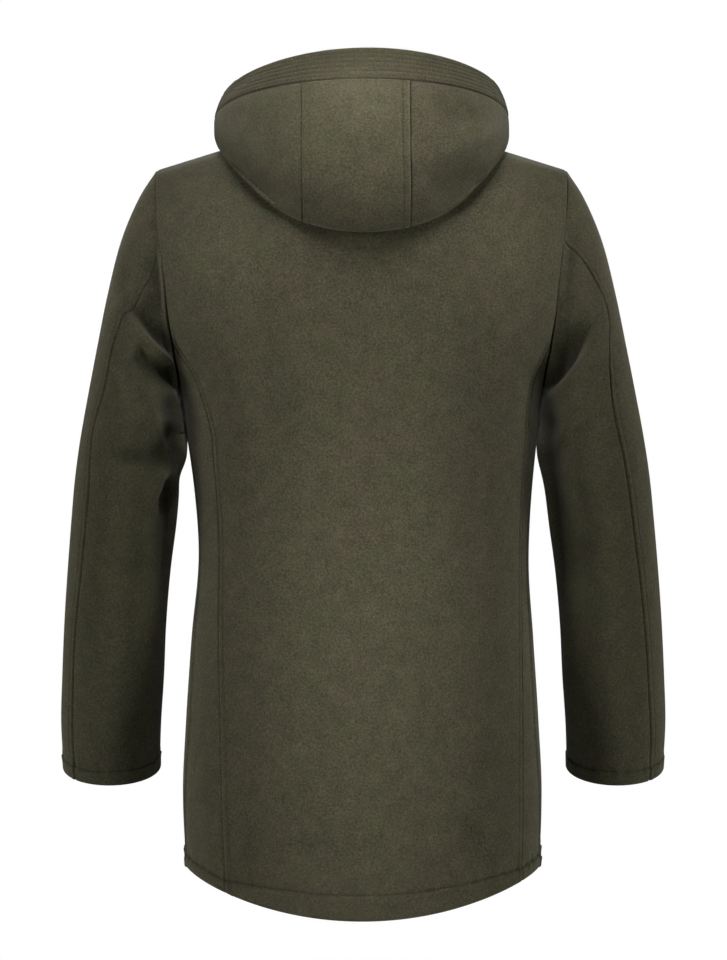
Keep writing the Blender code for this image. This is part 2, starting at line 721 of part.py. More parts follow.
def make_back_side(side):
    sign = 1.0 if side == "left" else -1.0
    columns = []
    for number in range(SIDE_COLUMNS + 1):
        share = number / SIDE_COLUMNS
        top = PRINCESS_LEVEL if number == 0 else side_top_level(share, side)
        if number == SIDE_COLUMNS:
            top = ARMPIT_LEVEL
        points = []
        directions = []
        for row in range(LOWER_ROWS + 1):
            level = top
            for _ in range(3):
                seam = princess_angle(level, side)
                angle = seam + (side_angle(level) - seam) * share
                level = lower_level(angle, top, row)
            if number == 0:
                angle = shifted_angle(angle, level, SEAM_GAP / 2)
            if number == SIDE_COLUMNS:
                angle = shifted_angle(angle, level, -SEAM_GAP / 2)
            point = body(sign * angle, level)
            normal = body_normal(sign * angle, level)
            if row == 0:
                middle, shared, towards = armhole_seam(armhole_turn(top), side)
                flip = np.array((sign, 1.0, 1.0))
                point = middle - towards * SEAM_GAP / 2
                if number == 0:
                    point = point + round_body(angle, level) * SEAM_GAP / 2
                if number == SIDE_COLUMNS:
                    point = point - round_body(angle, level) * SEAM_GAP / 2
                point = point * flip
                normal = shared * flip
            points.append(point)
            directions.append(normal)
        columns.append((points, directions))
    points = np.array([column[0] for column in columns]).transpose(1, 0, 2)
    directions = np.array([column[1] for column in columns]).transpose(1, 0, 2)
    return wall("back_side_" + side, *sheet_pair(points, directions))


def front_stations(side):
    """Top ends of a front's columns from its lapped edge out to the shoulder tip: level, angle, neck station
    and, for the columns by the lap, the distance from the centre front that they keep all the way down."""
    edges = (-LAP_OVER, 0.0) if side == "left" else (-LAP_UNDER, 0.0, LAP_STEP_END, LAP_STEP_START)
    placed = []
    for x in edges:
        station = 180.0 - math.degrees(math.asin(x / NECK_HALF))
        level, angle = neck_place(min(station, 360.0 - station))
        placed.append((level, angle if station <= 180.0 else 360.0 - angle, station, x))
    for station in reversed(NECK_FRONT_STATIONS):
        if station == LAP_STATION and side == "right":
            continue
        level, angle = neck_place(station)
        if abs(station - 90.0) < 1e-6:
            angle = 180.0 - angle
        placed.append((level, angle, station, None))
    for share in SHOULDER_STATIONS:
        x = NECK_HALF + (SHOULDER_HALF - NECK_HALF) * share
        placed.append((0.0, 180.0 - math.degrees(math.asin(x / BODY[0][1])), None, None))
    return placed


def front_spread(share, edge):
    """Angle of a front's column from the centre front. Only the outer columns follow the armhole's bottom."""
    tip = armhole_angle(0.0)
    return share * tip + (edge - tip) * share ** 4


def make_front(side):
    """A front. The right one is tucked under the left one's lap."""
    sign = 1.0 if side == "left" else -1.0
    flip = np.array((sign, 1.0, 1.0))
    stations = front_stations(side)
    tip = armhole_angle(0.0)
    count = len(stations) - 1
    columns = []
    for number, (level_top, angle_top, station, pinned) in enumerate(stations):
        from_front_top = (180.0 - angle_top) / tip
        points = []
        directions = []
        share_low = from_front_top ** 0.6 if number < count and from_front_top > 0 else 1.0
        total = FRONT_UPPER_ROWS + LOWER_ROWS
        for row in range(total + 1):
            if row <= FRONT_UPPER_ROWS:
                bend = FRONT_BENDS[row]
                level = level_top + (ARMPIT_LEVEL - level_top) * bend
                edge = armhole_angle(level)
            else:
                level = ARMPIT_LEVEL
                for _ in range(3):
                    edge = 180.0 - side_angle(level)
                    angle = 180.0 - front_spread(share_low, edge) if pinned is None else 180.0
                    level = lower_level(angle, ARMPIT_LEVEL, row - FRONT_UPPER_ROWS)
                edge = 180.0 - side_angle(level)
            eased = ease(FRONT_BENDS[min(row, FRONT_UPPER_ROWS)])
            share = from_front_top + (share_low - from_front_top) * eased
            angle = 180.0 - front_spread(share, edge)
            if pinned is not None:
                angle = 180.0 - math.degrees(math.asin(pinned / read(BODY_AT, "half_width", level)))
            point = body(sign * angle, level)
            normal = body_normal(sign * angle, level)
            on_armhole = number == count and row <= FRONT_UPPER_ROWS
            if on_armhole:
                middle, shared, towards = armhole_seam(armhole_turn(level, back=False), side)
                point = (middle - towards * SEAM_GAP / 2) * flip
                normal = shared * flip
            elif number == count:
                angle = shifted_angle(angle, level, SEAM_GAP / 2)
                point = body(sign * angle, level)
            elif row == 0 and station is not None:
                middle, shared, towards = neck_seam(sign * station)
                point = middle - towards * SEAM_GAP / 2
                normal = shared
            if row == 0 and level_top < 1e-6:
                point = point - np.array((0.0, SEAM_GAP / 2, 0.0))
            if on_armhole and row == FRONT_UPPER_ROWS:
                point = point + round_body(angle, level) * flip * SEAM_GAP / 2
            if side == "right":
                under = ease((LAP_STEP_START + point[0]) / (LAP_STEP_START - LAP_STEP_END))
                flat = unit(normal * np.array((1.0, 1.0, 0.0)))
                point = point - flat * LAP_STEP * under
            points.append(point)
            directions.append(normal)
        columns.append((points, directions))
    points = np.array([column[0] for column in columns]).transpose(1, 0, 2)
    directions = np.array([column[1] for column in columns]).transpose(1, 0, 2)
    return wall("front_" + side, *sheet_pair(points, directions))


def armhole_turns(side):
    """Angles round the sleeve at which the body's pieces have points along the armhole, from the shoulder."""
    turns = [armhole_turn(level) for level in upper_levels(0.0)]
    turns += [armhole_turn(side_top_level(n / SIDE_COLUMNS, side)) for n in range(1, SIDE_COLUMNS)]
    turns.append(180.0)
    front = [ARMPIT_LEVEL * bend for bend in FRONT_BENDS[:-1]]
    turns += [armhole_turn(level, back=False) for level in reversed(front)]
    return turns


def make_sleeve(side):
    turns = armhole_turns(side)
    back_name = "back_" + side
    start = min(range(len(turns)), key=lambda n: abs(turns[n] - SLEEVE_SEAMS[0][1]))
    stop = min(range(len(turns)), key=lambda n: abs(turns[n] - SLEEVE_SEAMS[0][3]))
    top_turns = turns[stop:-1] + turns[:start + 1]
    top_turns = [turn - 360.0 if turn > 200.0 else turn for turn in top_turns]
    pieces = (("sleeve_under_", turns[start:stop + 1], False), ("sleeve_top_", top_turns, True))
    for title, piece_turns, on_top in pieces:
        first, last = piece_turns[0], piece_turns[-1]
        columns = []
        for number, turn in enumerate(piece_turns):
            share = (turn - first) / (last - first)
            points = []
            directions = []
            for section in SLEEVE_ROWS:
                back = read(SLEEVE_SEAM_AT, back_name, section)
                front = read(SLEEVE_SEAM_AT, "front", section)
                settled = section / (section + SEAM_SETTLE) * (1 + SEAM_SETTLE / SLEEVE_ROWS[-1])
                if on_top:
                    low, high = front - 360.0, back
                else:
                    low, high = back, front
                low = first + (low - first) * settled
                high = last + (high - last) * settled
                here = low + (high - low) * share
                point = sleeve(here, section, side)
                round_step = (sleeve(here + 0.5, section, side) - sleeve(here - 0.5, section, side))
                if number == 0:
                    point = point + unit(round_step) * SEAM_GAP / 2
                if number == len(piece_turns) - 1:
                    point = point - unit(round_step) * SEAM_GAP / 2
                normal = sleeve_normal(here, section, side)
                if section == 0.0:
                    middle, shared, towards = armhole_seam(turn, side)
                    point = middle + towards * SEAM_GAP / 2
                    if number == 0:
                        point = point + unit(round_step) * SEAM_GAP / 2
                    if number == len(piece_turns) - 1:
                        point = point - unit(round_step) * SEAM_GAP / 2
                    normal = shared
                points.append(point)
                directions.append(normal)
            columns.append((points, directions))
        points = np.array([column[0] for column in columns]).transpose(1, 0, 2)
        directions = np.array([column[1] for column in columns]).transpose(1, 0, 2)
        outer, inner = sheet_pair(points, directions)
        if side == "right":
            outer, inner = mirrored(outer), mirrored(inner)
        wall(title + side, outer, inner)


def chord_neck_seam(turn):
    """Neck seam at any turn, straight between the stations the coat's pieces have round the neck."""
    stations = [s for s in NECK_STATIONS] + [s for s in NECK_FRONT_STATIONS[1:]] + [180.0]
    station = abs(turn)
    for low, high in zip(stations, stations[1:]):
        if low - 1e-9 <= station <= high + 1e-9:
            break
    sign = 1.0 if turn >= 0 else -1.0
    share = (station - low) / (high - low)
    first = neck_seam(sign * low)
    second = neck_seam(sign * high)
    return [one + (two - one) * share for one, two in zip(first, second)]


def hood_seam_turn(level, side):
    """Turn of the seam between the hood's centre and side panels."""
    x = read(HOOD_AT, "seam_" + side, level)
    return math.degrees(math.asin(x / read(HOOD_AT, "half_width", level)))


def hood_point(turn, level):
    """Point and wall direction of the hood, joined to the neck seam at its lowest row."""
    if level < 1e-6:
        middle, shared, towards = chord_neck_seam(turn)
        return middle + towards * SEAM_GAP / 2, shared
    return hood(turn, level), hood_normal(turn, level)


def hood_grid(turns_at):
    """Sheets of a hood panel. turns_at gives the turns of the columns at a level."""
    points = []
    directions = []
    for level in HOOD_ROWS:
        turns = turns_at(level)
        row_points = []
        row_directions = []
        for number, turn in enumerate(turns):
            point, direction = hood_point(turn, level)
            ahead = hood(turn + 0.5, level) - hood(turn - 0.5, level)
            if number == 0:
                point = point + unit(ahead) * SEAM_GAP / 2
            if number == len(turns) - 1:
                point = point - unit(ahead) * SEAM_GAP / 2
            if level == HOOD_ROWS[-1]:
                point = point - unit(hood(turn, level + 0.1) - hood(turn, level - 0.1)) * SEAM_GAP / 2
            row_points.append(point)
            row_directions.append(direction)
        points.append(row_points)
        directions.append(row_directions)
    return sheet_pair(points, directions)


def centre_turns(level):
    right = -hood_seam_turn(level, "right")
    left = hood_seam_turn(level, "left")
    if level < 1e-6:
        return [-turn for turn in reversed(HOOD_NECK_TURNS)] + list(HOOD_NECK_TURNS[1:])
    count = 2 * (len(HOOD_NECK_TURNS) - 1)
    return [right + (left - right) * n / count for n in range(count + 1)]


def hood_front_turn(level):
    return 180.0 - math.degrees(math.asin(HOOD_FRONT_GAP / read(HOOD_AT, "half_width", level)))


def side_turns(level, side):
    seam = hood_seam_turn(level, side)
    front = hood_front_turn(level)
    turns = []
    for angle in HOOD_SIDE_ANGLES + (180.0,):
        share = (angle - HOOD_SIDE_ANGLES[0]) / (180.0 - HOOD_SIDE_ANGLES[0])
        eased = seam + (front - seam) * share
        if level < 1e-6:
            eased = min(angle, front)
        turns.append(eased)
    if side == "right":
        turns = [-turn for turn in reversed(turns)]
    return turns


def make_hood():
    wall("hood_centre", *hood_grid(centre_turns))
    wall("hood_side_left", *hood_grid(lambda level: side_turns(level, "left")))
    wall("hood_side_right", *hood_grid(lambda level: side_turns(level, "right")))
    points = []
    behind = []
    for level in BAND_ROWS:
        turns = side_turns(level, "right")[:-1] + centre_turns(level) + side_turns(level, "left")[1:]
        row_points = []
        row_behind = []
        for turn in turns:
            point = hood(turn, level)
            normal = hood_normal(turn, level)
            if level == BAND_ROWS[0]:
                point = point + unit(hood(turn, level + 0.1) - hood(turn, level - 0.1)) * SEAM_GAP / 2
            point = point + normal * BAND_PROUD
            row_points.append(point)
            row_behind.append(point - normal * BAND_CLOTH)
        points.append(row_points)
        behind.append(row_behind)
    wall("hood_band", points, behind)


make_back_centre()
for side_name in ("left", "right"):
    make_back_side(side_name)
    make_front(side_name)
    make_sleeve(side_name)
make_hood()
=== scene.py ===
import math

import bpy
import numpy as np
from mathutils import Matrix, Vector


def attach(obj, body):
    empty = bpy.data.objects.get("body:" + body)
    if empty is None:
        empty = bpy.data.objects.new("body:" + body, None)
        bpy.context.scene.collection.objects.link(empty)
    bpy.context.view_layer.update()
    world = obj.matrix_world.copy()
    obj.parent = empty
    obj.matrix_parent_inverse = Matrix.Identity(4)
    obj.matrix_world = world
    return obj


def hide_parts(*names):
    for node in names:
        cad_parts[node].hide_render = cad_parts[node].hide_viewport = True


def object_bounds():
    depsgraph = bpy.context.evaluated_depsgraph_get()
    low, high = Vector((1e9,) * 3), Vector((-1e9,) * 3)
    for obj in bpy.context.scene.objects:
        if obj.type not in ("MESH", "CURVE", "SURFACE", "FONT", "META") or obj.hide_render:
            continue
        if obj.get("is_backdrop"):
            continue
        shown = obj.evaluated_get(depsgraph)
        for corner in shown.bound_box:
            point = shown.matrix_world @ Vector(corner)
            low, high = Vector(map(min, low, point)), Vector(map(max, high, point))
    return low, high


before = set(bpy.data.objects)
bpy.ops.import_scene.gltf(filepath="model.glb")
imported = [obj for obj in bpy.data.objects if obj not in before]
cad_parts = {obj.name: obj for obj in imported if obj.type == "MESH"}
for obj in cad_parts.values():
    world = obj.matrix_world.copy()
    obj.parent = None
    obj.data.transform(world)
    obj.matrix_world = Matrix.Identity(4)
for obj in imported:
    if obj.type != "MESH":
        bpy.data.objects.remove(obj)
cadLow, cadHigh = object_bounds()
print("frame loaded,", len(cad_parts), "nodes")


def addObject(name, data):
    thing = bpy.data.objects.new(name, data)
    bpy.context.scene.collection.objects.link(thing)
    return thing


def makeMaterial(name, values):
    material = bpy.data.materials.new(name)
    material.use_nodes = True
    shader = material.node_tree.nodes["Principled BSDF"]
    for label, value in values.items():
        shader.inputs[label].default_value = value
    return material, shader


def join(tree, rows):                       # each row is a node and its output, then a node and its input
    for source, given, target, taken in rows:
        tree.links.new(source.outputs[given], target.inputs[taken])


# camera: straight behind the coat, at half its height
cameraView = {
    "distance": 3.5, "pixelSize": 0.00112, "imageHeight": 960, "sensor": 36.0,
    "centreX": -0.0022, "centreZ": -0.392,
}


def makeCamera(view):
    data = bpy.data.cameras.new("backCamera")
    data.sensor_width = view["sensor"]      # covers the picture's long side, which is its height
    data.lens = view["sensor"] * view["distance"] / (view["imageHeight"] * view["pixelSize"])
    camera = addObject("backCamera", data)
    camera.location = (view["centreX"], view["distance"], view["centreZ"])
    camera.rotation_euler = (math.pi / 2, 0, math.pi)
    bpy.context.scene.camera = camera


makeCamera(cameraView)

# floor, world and lamps
stage = {
    "floorHeight": -1.45, "floorSize": 5.6, "floorColour": (0.86, 0.86, 0.85, 1), "floorRoughness": 0.9,
    "fill": 0.0, "fillColour": (1.0, 1.0, 1.0, 1), "backdropColour": (1.0, 1.0, 1.0, 1),
}
lampColumns = ("turn", "rise", "distance", "aim", "size", "power", "spread", "colour")
whiteLight, sideLight, warmLight = (1.0, 1.0, 1.0), (0.98, 1.0, 0.92), (1.03, 1.0, 1.0)
coatMiddle = (0, 0.05, -0.40)
lamps = {
    "above": (0, 78, 3.0, coatMiddle, (1.0, 1.0), 8.5, 180, whiteLight),
    "leftSide": (65, 10, 3.0, coatMiddle, (1.0, 1.0), 43.5, 180, sideLight),
    "rightSide": (-65, 10, 3.0, coatMiddle, (1.0, 1.0), 46.0, 180, sideLight),
    "front": (180, 30, 3.0, coatMiddle, (1.0, 1.0), 30.0, 180, whiteLight),
    "shoulders": (0, 60, 2.4, (0, 0.1, -0.12), (0.4, 0.4), 0.25, 9, warmLight),
    "leftShoulder": (0, 45, 2.4, (0.16, 0.08, -0.12), (0.15, 0.15), 0.066, 6, warmLight),
    "rightShoulder": (0, 45, 2.4, (-0.16, 0.08, -0.12), (0.15, 0.15), 0.068, 6, warmLight),
    "waist": (0, 45, 2.4, (0, 0.1, -0.42), (0.1, 0.5), 0.098, 9, warmLight),
    "skirt": (0, 45, 2.4, (0, 0.1, -0.69), (0.1, 0.5), 0.170, 9, warmLight),
    "hoodSpot": (0, 20, 2.0, (0, 0.16, 0.02), (0.1, 0.1), 0.068, 6, warmLight),
}


def makeStage():
    half = stage["floorSize"] / 2
    floorMesh = bpy.data.meshes.new("floor")
    corners = [(-half, -half), (half, -half), (half, half), (-half, half)]
    floorMesh.from_pydata([(x, y, stage["floorHeight"]) for x, y in corners], [], [(0, 1, 2, 3)])
    floor = addObject("floor", floorMesh)
    paint, _ = makeMaterial("paleFloor", {"Base Color": stage["floorColour"],
                                          "Roughness": stage["floorRoughness"]})
    floorMesh.materials.append(paint)
    floor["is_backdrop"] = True

    world = bpy.data.worlds.new("studio")
    bpy.context.scene.world = world
    world.use_nodes = True
    nodes = world.node_tree.nodes
    nodes.clear()
    out = nodes.new("ShaderNodeOutputWorld")
    mix = nodes.new("ShaderNodeMixShader")
    seen = nodes.new("ShaderNodeLightPath")     # only the camera sees the white backdrop
    fill = nodes.new("ShaderNodeBackground")
    fill.inputs["Color"].default_value = stage["fillColour"]
    fill.inputs["Strength"].default_value = stage["fill"]
    backdrop = nodes.new("ShaderNodeBackground")
    backdrop.inputs["Color"].default_value = stage["backdropColour"]
    join(world.node_tree, ((seen, "Is Camera Ray", mix, 0), (fill, 0, mix, 1), (backdrop, 0, mix, 2),
                           (mix, 0, out, "Surface")))


def makeLamp(name, row):
    lamp = dict(zip(lampColumns, row))
    data = bpy.data.lights.new(name, "AREA")
    data.shape = "RECTANGLE"
    data.size, data.size_y = lamp["size"]
    data.energy = lamp["power"]
    data.spread = math.radians(lamp["spread"])
    data.color = lamp["colour"]
    turn, rise = math.radians(lamp["turn"]), math.radians(lamp["rise"])
    away = Vector((math.sin(turn) * math.cos(rise), math.cos(turn) * math.cos(rise), math.sin(rise)))
    thing = addObject(name, data)
    thing.location = Vector(lamp["aim"]) + away * lamp["distance"]
    thing.rotation_euler = (-away).to_track_quat("-Z", "Y").to_euler()


makeStage()
for lampName, lampRow in lamps.items():
    makeLamp(lampName, lampRow)
bpy.context.scene.view_settings.view_transform = "Standard"
print("camera and stage made")


# small sums used all over
def unit(vectors):
    return vectors / np.maximum(np.linalg.norm(vectors, axis=-1, keepdims=True), 1e-12)


def ease(t):
    t = np.clip(t, 0.0, 1.0)
    return t * t * (3 - 2 * t)


def curvesThrough(columns, rows, along=None):
    # a smooth curve through each column of a table, which doesn't swing past the table's own values
    values = np.array(rows, float)
    places = np.arange(len(rows), dtype=float) if along is None else values[:, columns.index(along)]
    steps = np.diff(places)
    curves = {}
    for number, name in enumerate(columns):
        heights = values[:, number]
        rates = np.diff(heights) / steps
        slopes = np.zeros(len(rows))
        slopes[0], slopes[-1] = rates[0], rates[-1]
        for i in range(1, len(rows) - 1):
            if rates[i - 1] * rates[i] > 0:
                before, after = 2 * steps[i] + steps[i - 1], steps[i] + 2 * steps[i - 1]
                slopes[i] = (before + after) / (before / rates[i - 1] + after / rates[i])
        curves[name] = (places, heights, slopes)
    return curves


def readAt(curves, name, at):
    places, heights, slopes = curves[name]
    at = np.clip(at, places[0], places[-1])
    i = np.clip(np.searchsorted(places, at) - 1, 0, len(places) - 2)
    step = places[i + 1] - places[i]
    t = (at - places[i]) / step
    start = heights[i] * (1 + 2 * t) * (1 - t) ** 2 + slopes[i] * step * t * (1 - t) ** 2
    return start + heights[i + 1] * t * t * (3 - 2 * t) + slopes[i + 1] * step * t * t * (t - 1)


def solveBetween(low, high, isLow, rounds=36):
    # halves the span until it holds the place where isLow turns false
    for _ in range(rounds):
        middle = 0.5 * (low + high)
        lower = isLow(middle)
        low, high = np.where(lower, middle, low), np.where(lower, high, middle)
    return 0.5 * (low + high)


foldColumns = ("along", "around", "alongReach", "aroundReach", "lean", "depth")
leanUnit = 3000.0                           # a lean of 1 shifts a fold by 1/3000 of a section a degree


def foldDepth(folds, along, around):
    # soft swells and hollows by level or section and by angle
    total = 0.0
    for row in folds:
        fold = dict(zip(foldColumns, row))
        beside = (around - fold["around"] + 180.0) % 360.0 - 180.0
        across = along - fold["along"] - beside * fold["lean"] / leanUnit
        spread = (across / fold["alongReach"]) ** 2 + (beside / fold["aroundReach"]) ** 2
        total = total + fold["depth"] * np.exp(-spread)
    return total


# form of the coat's body, in metres: its solids' sizes and sections, with the armholes scooped
coat = {
    "neckHalf": 0.085, "neckBack": 0.055, "neckFront": 0.098, "shoulderHalf": 0.229, "shoulderSlope": 0.31,
    "shoulderRound": 0.010, "squareness": 0.20, "hemSide": 0.8215, "hemBackDip": 0.0465, "hemFrontDip": 0.015,
    "armpitLevel": 7.0, "armholeFullness": 3.3, "armholeScoop": 3.5, "scoopShare": 0.65, "scoopPower": 3.0,
    "princessLevel": 5.8, "hemLevelMax": 14.0, "neckLevelMax": 6.0, "armholeSteps": 281, "leastDepth": 0.02,
    "lapOver": 0.0318, "lapUnder": 0.028, "lapStep": 0.0048, "lapStepEnd": 0.0348, "lapStepStart": 0.0448,
}
bodyColumns = ("drop", "halfWidth", "back", "front", "slope", "shift")
bodySections = (
    (0.000, 0.2700, 0.000, 0.000, 1.00, 0.0000),
    (0.010, 0.2700, 0.040, 0.036, 1.00, 0.0000),
    (0.035, 0.2690, 0.072, 0.066, 0.95, 0.0000),
    (0.075, 0.2670, 0.096, 0.090, 0.85, 0.0000),
    (0.130, 0.2600, 0.112, 0.113, 0.60, 0.0000),
    (0.190, 0.2460, 0.120, 0.130, 0.32, 0.0000),
    (0.245, 0.2230, 0.122, 0.138, 0.10, 0.0000),
    (0.290, 0.2025, 0.120, 0.140, 0.00, 0.0000),
    (0.360, 0.1932, 0.113, 0.137, 0.00, -0.0005),
    (0.480, 0.1863, 0.105, 0.131, 0.00, -0.0008),
    (0.570, 0.1915, 0.110, 0.130, 0.00, -0.0008),
    (0.660, 0.1972, 0.119, 0.132, 0.00, -0.0008),
    (0.740, 0.2008, 0.127, 0.136, 0.00, -0.0008),
    (0.810, 0.1994, 0.131, 0.138, 0.00, -0.0008),
    (0.875, 0.1978, 0.133, 0.139, 0.00, -0.0008),
)
seamColumns = ("level", "princessLeft", "princessRight", "side")
seamRows = (
    (5.8, 66.6, 66.6, 90.0),
    (6.4, 64.6, 67.8, 90.0),
    (7.0, 62.3, 68.4, 90.0),
    (8.0, 58.0, 70.3, 84.0),
    (9.0, 58.2, 71.5, 80.5),
    (10.0, 55.5, 67.5, 78.0),
    (11.0, 51.8, 63.8, 77.0),
    (12.0, 49.5, 61.5, 79.0),
    (14.0, 48.0, 61.8, 86.0),
)
bodyFolds = (
    (6.8, 31.0, 2.2, 8.0, 0.0, -0.0040),
    (6.4, -39.0, 2.0, 8.0, 0.0, -0.0040),
    (5.2, 48.0, 1.6, 9.0, 0.0, 0.0025),
    (5.2, -54.0, 1.6, 8.0, 0.0, 0.0025),
    (12.6, -35.0, 0.7, 7.0, 12.0, -0.0035),
    (12.5, 30.0, 0.6, 8.0, -10.0, -0.0025),
    (8.6, 150.0, 1.4, 11.0, 6.0, -0.0035),
    (8.4, -146.0, 1.2, 10.0, -5.0, -0.0035),
)
# eases the sides in where the coat's outline is slimmer, by level and angle
bodyEases = (
    (8.8, 90.0, 0.75, 32.0, 0.0, -0.0034),
    (13.7, 86.0, 0.90, 30.0, 0.0, -0.0034),
    (13.7, -88.0, 0.80, 26.0, 0.0, -0.0015),
)
bodyAt = curvesThrough(bodyColumns, bodySections)
seamAt = curvesThrough(seamColumns, seamRows, "level")


def slopeRun(x):
    pastNeck = np.abs(x) - coat["neckHalf"]
    return 0.5 * (pastNeck + np.sqrt(pastNeck * pastNeck + coat["shoulderRound"] ** 2))


def body(angle, level):                     # angle 0 is the centre back, 90 the wearer's left, 180 the front
    turn = np.radians(angle)
    across, along = np.sin(turn), np.cos(turn)
    half = readAt(bodyAt, "halfWidth", level)
    depth = np.where(along > 0, readAt(bodyAt, "back", level), readAt(bodyAt, "front", level))
    x = half * across
    y = depth * along * (1 + coat["squareness"] * across * across)
    z = -readAt(bodyAt, "drop", level) - readAt(bodyAt, "slope", level) * coat["shoulderSlope"] * slopeRun(x)
    outward = unit(np.stack((across / half, along / np.maximum(depth, coat["leastDepth"]), 0 * x), -1))
    points = np.stack((x + readAt(bodyAt, "shift", level), y, z), -1)
    return points + outward * np.asarray(foldDepth(bodyFolds + bodyEases, level, angle))[..., None]


tipAngle = math.degrees(math.asin(coat["shoulderHalf"] / bodySections[0][1]))
shoulderLength = coat["shoulderHalf"] - coat["neckHalf"]


def armholeAngle(level):
    share = np.clip(level / coat["armpitLevel"], 0.0, 1.0)
    peak, power = coat["scoopShare"], coat["scoopPower"]
    scoop = (share / peak) ** (power * peak / (1 - peak)) * ((1 - share) / (1 - peak)) ** power
    plain = 90.0 - (90.0 - tipAngle) * np.sqrt(1 - share ** coat["armholeFullness"])
    return plain - coat["armholeScoop"] * scoop


def hemLevel(angle):
    along = np.cos(np.radians(angle))
    wanted = coat["hemSide"] + np.where(along > 0, coat["hemBackDip"], coat["hemFrontDip"]) * along * along
    low, high = np.full(np.shape(angle), coat["armpitLevel"]), np.full(np.shape(angle), coat["hemLevelMax"])
    return solveBetween(low, high, lambda level: readAt(bodyAt, "drop", level) < wanted)


def angleAt(x, y, level):
    angle = np.degrees(np.arcsin(np.minimum(np.abs(x) / readAt(bodyAt, "halfWidth", level), 1.0)))
    return np.where(y < 0, 180.0 - angle, angle)


def neckPlace(station):                     # level and angle of the neckline, round the wearer's left
    turn = np.radians(station)
    x = coat["neckHalf"] * np.sin(turn)
    y = np.where(station <= 90, coat["neckBack"], coat["neckFront"]) * np.cos(turn)
    low, high = np.zeros(np.shape(station)), np.full(np.shape(station), coat["neckLevelMax"])
    level = solveBetween(low, high, lambda at: np.abs(body(angleAt(x, y, at), at)[..., 1]) < np.abs(y))
    return level, angleAt(x, y, level)


# form of the sleeves
sleeveSections = (                          # outer x and z, inner x and z, middle y, half depth
    (0.2500, -0.0780, 0.2042, -0.3020, 0.000, 0.0720),
    (0.2695, -0.1260, 0.2014, -0.3160, 0.003, 0.0750),
    (0.2840, -0.1850, 0.1990, -0.3310, 0.006, 0.0770),
    (0.2955, -0.2450, 0.1970, -0.3470, 0.010, 0.0770),
    (0.3060, -0.3000, 0.1959, -0.3640, 0.012, 0.0755),
    (0.3145, -0.3480, 0.2000, -0.3850, 0.013, 0.0735),
    (0.3205, -0.3900, 0.2043, -0.4100, 0.012, 0.0710),
    (0.3250, -0.4350, 0.2085, -0.4450, 0.009, 0.0680),
    (0.3300, -0.4900, 0.2155, -0.4960, 0.003, 0.0655),
    (0.3350, -0.5500, 0.2210, -0.5540, -0.008, 0.0625),
    (0.3390, -0.6100, 0.2245, -0.6130, -0.023, 0.0600),
    (0.3420, -0.6650, 0.2290, -0.6670, -0.040, 0.0575),
    (0.3405, -0.7180, 0.2315, -0.7190, -0.056, 0.0555),
)
sleeveSpread = {"left": -0.002, "right": 0.002}
sleeveSizes = {"ownFrom": 4, "foldStart": 0.3, "outwardRise": 0.3}
sleeveSeamColumns = ("section", "backLeft", "backRight", "front")
sleeveSeamRows = (
    (0.0, 71.0, 71.0, 235.0),
    (1.0, 79.0, 66.0, 230.0),
    (2.0, 74.0, 58.0, 225.0),
    (3.0, 59.0, 47.0, 220.0),
    (3.6, 52.0, 54.0, 217.0),
    (4.5, 50.0, 60.0, 211.0),
    (5.6, 43.0, 62.0, 203.0),
    (7.0, 50.0, 60.0, 197.0),
    (8.6, 49.0, 57.0, 193.0),
    (10.5, 43.5, 52.0, 193.0),
    (13.0, 46.0, 49.0, 195.0),
)
sleeveFolds = {
    "left": (
        (4.2, 92.0, 0.45, 36.0, 55.0, -0.0060),
        (5.4, 115.0, 0.50, 34.0, 40.0, -0.0070),
        (7.2, 105.0, 0.60, 40.0, 0.0, -0.0045),
        (6.1, 140.0, 0.45, 20.0, 0.0, 0.0040),
        (6.6, 270.0, 0.60, 45.0, 0.0, -0.0060),
        (8.2, 285.0, 0.70, 40.0, 20.0, -0.0040),
    ),
    "right": (
        (4.8, 96.0, 0.55, 40.0, 55.0, -0.0085),
        (6.2, 135.0, 0.60, 22.0, 0.0, 0.0030),
        (7.6, 115.0, 0.70, 35.0, 15.0, -0.0035),
        (6.5, 268.0, 0.60, 45.0, 0.0, -0.0060),
        (8.0, 280.0, 0.70, 40.0, -20.0, -0.0040),
    ),
}
# where the sleeves press against the coat's sides, by section and turn
sleeveSwells = {
    "left": ((3.1, 215.0, 1.7, 22.0, 0.0, 0.0105), (6.2, 178.0, 0.6, 25.0, 0.0, -0.0030)),
    "right": ((3.1, 215.0, 1.7, 22.0, 0.0, 0.0105),),
}
sleeveSeamAt = curvesThrough(sleeveSeamColumns, sleeveSeamRows, "section")
armholeLevels = np.linspace(0.0, coat["armpitLevel"], coat["armholeSteps"])
armholeHeights = body(armholeAngle(armholeLevels), armholeLevels)[:, 2]
armholeDrop = armholeHeights[-1] - armholeHeights[0]
armholeShares = np.maximum.accumulate((armholeHeights - armholeHeights[0]) / armholeDrop)


def armhole(turn):                          # turn 0 is the shoulder, 90 behind, 180 the armpit
    turn = np.asarray(turn, float) % 360.0
    level = np.interp(0.5 * (1 - np.cos(np.radians(turn))), armholeShares, armholeLevels)
    angle = armholeAngle(level)
    return body(np.where(turn <= 180.0, angle, 180.0 - angle), level)


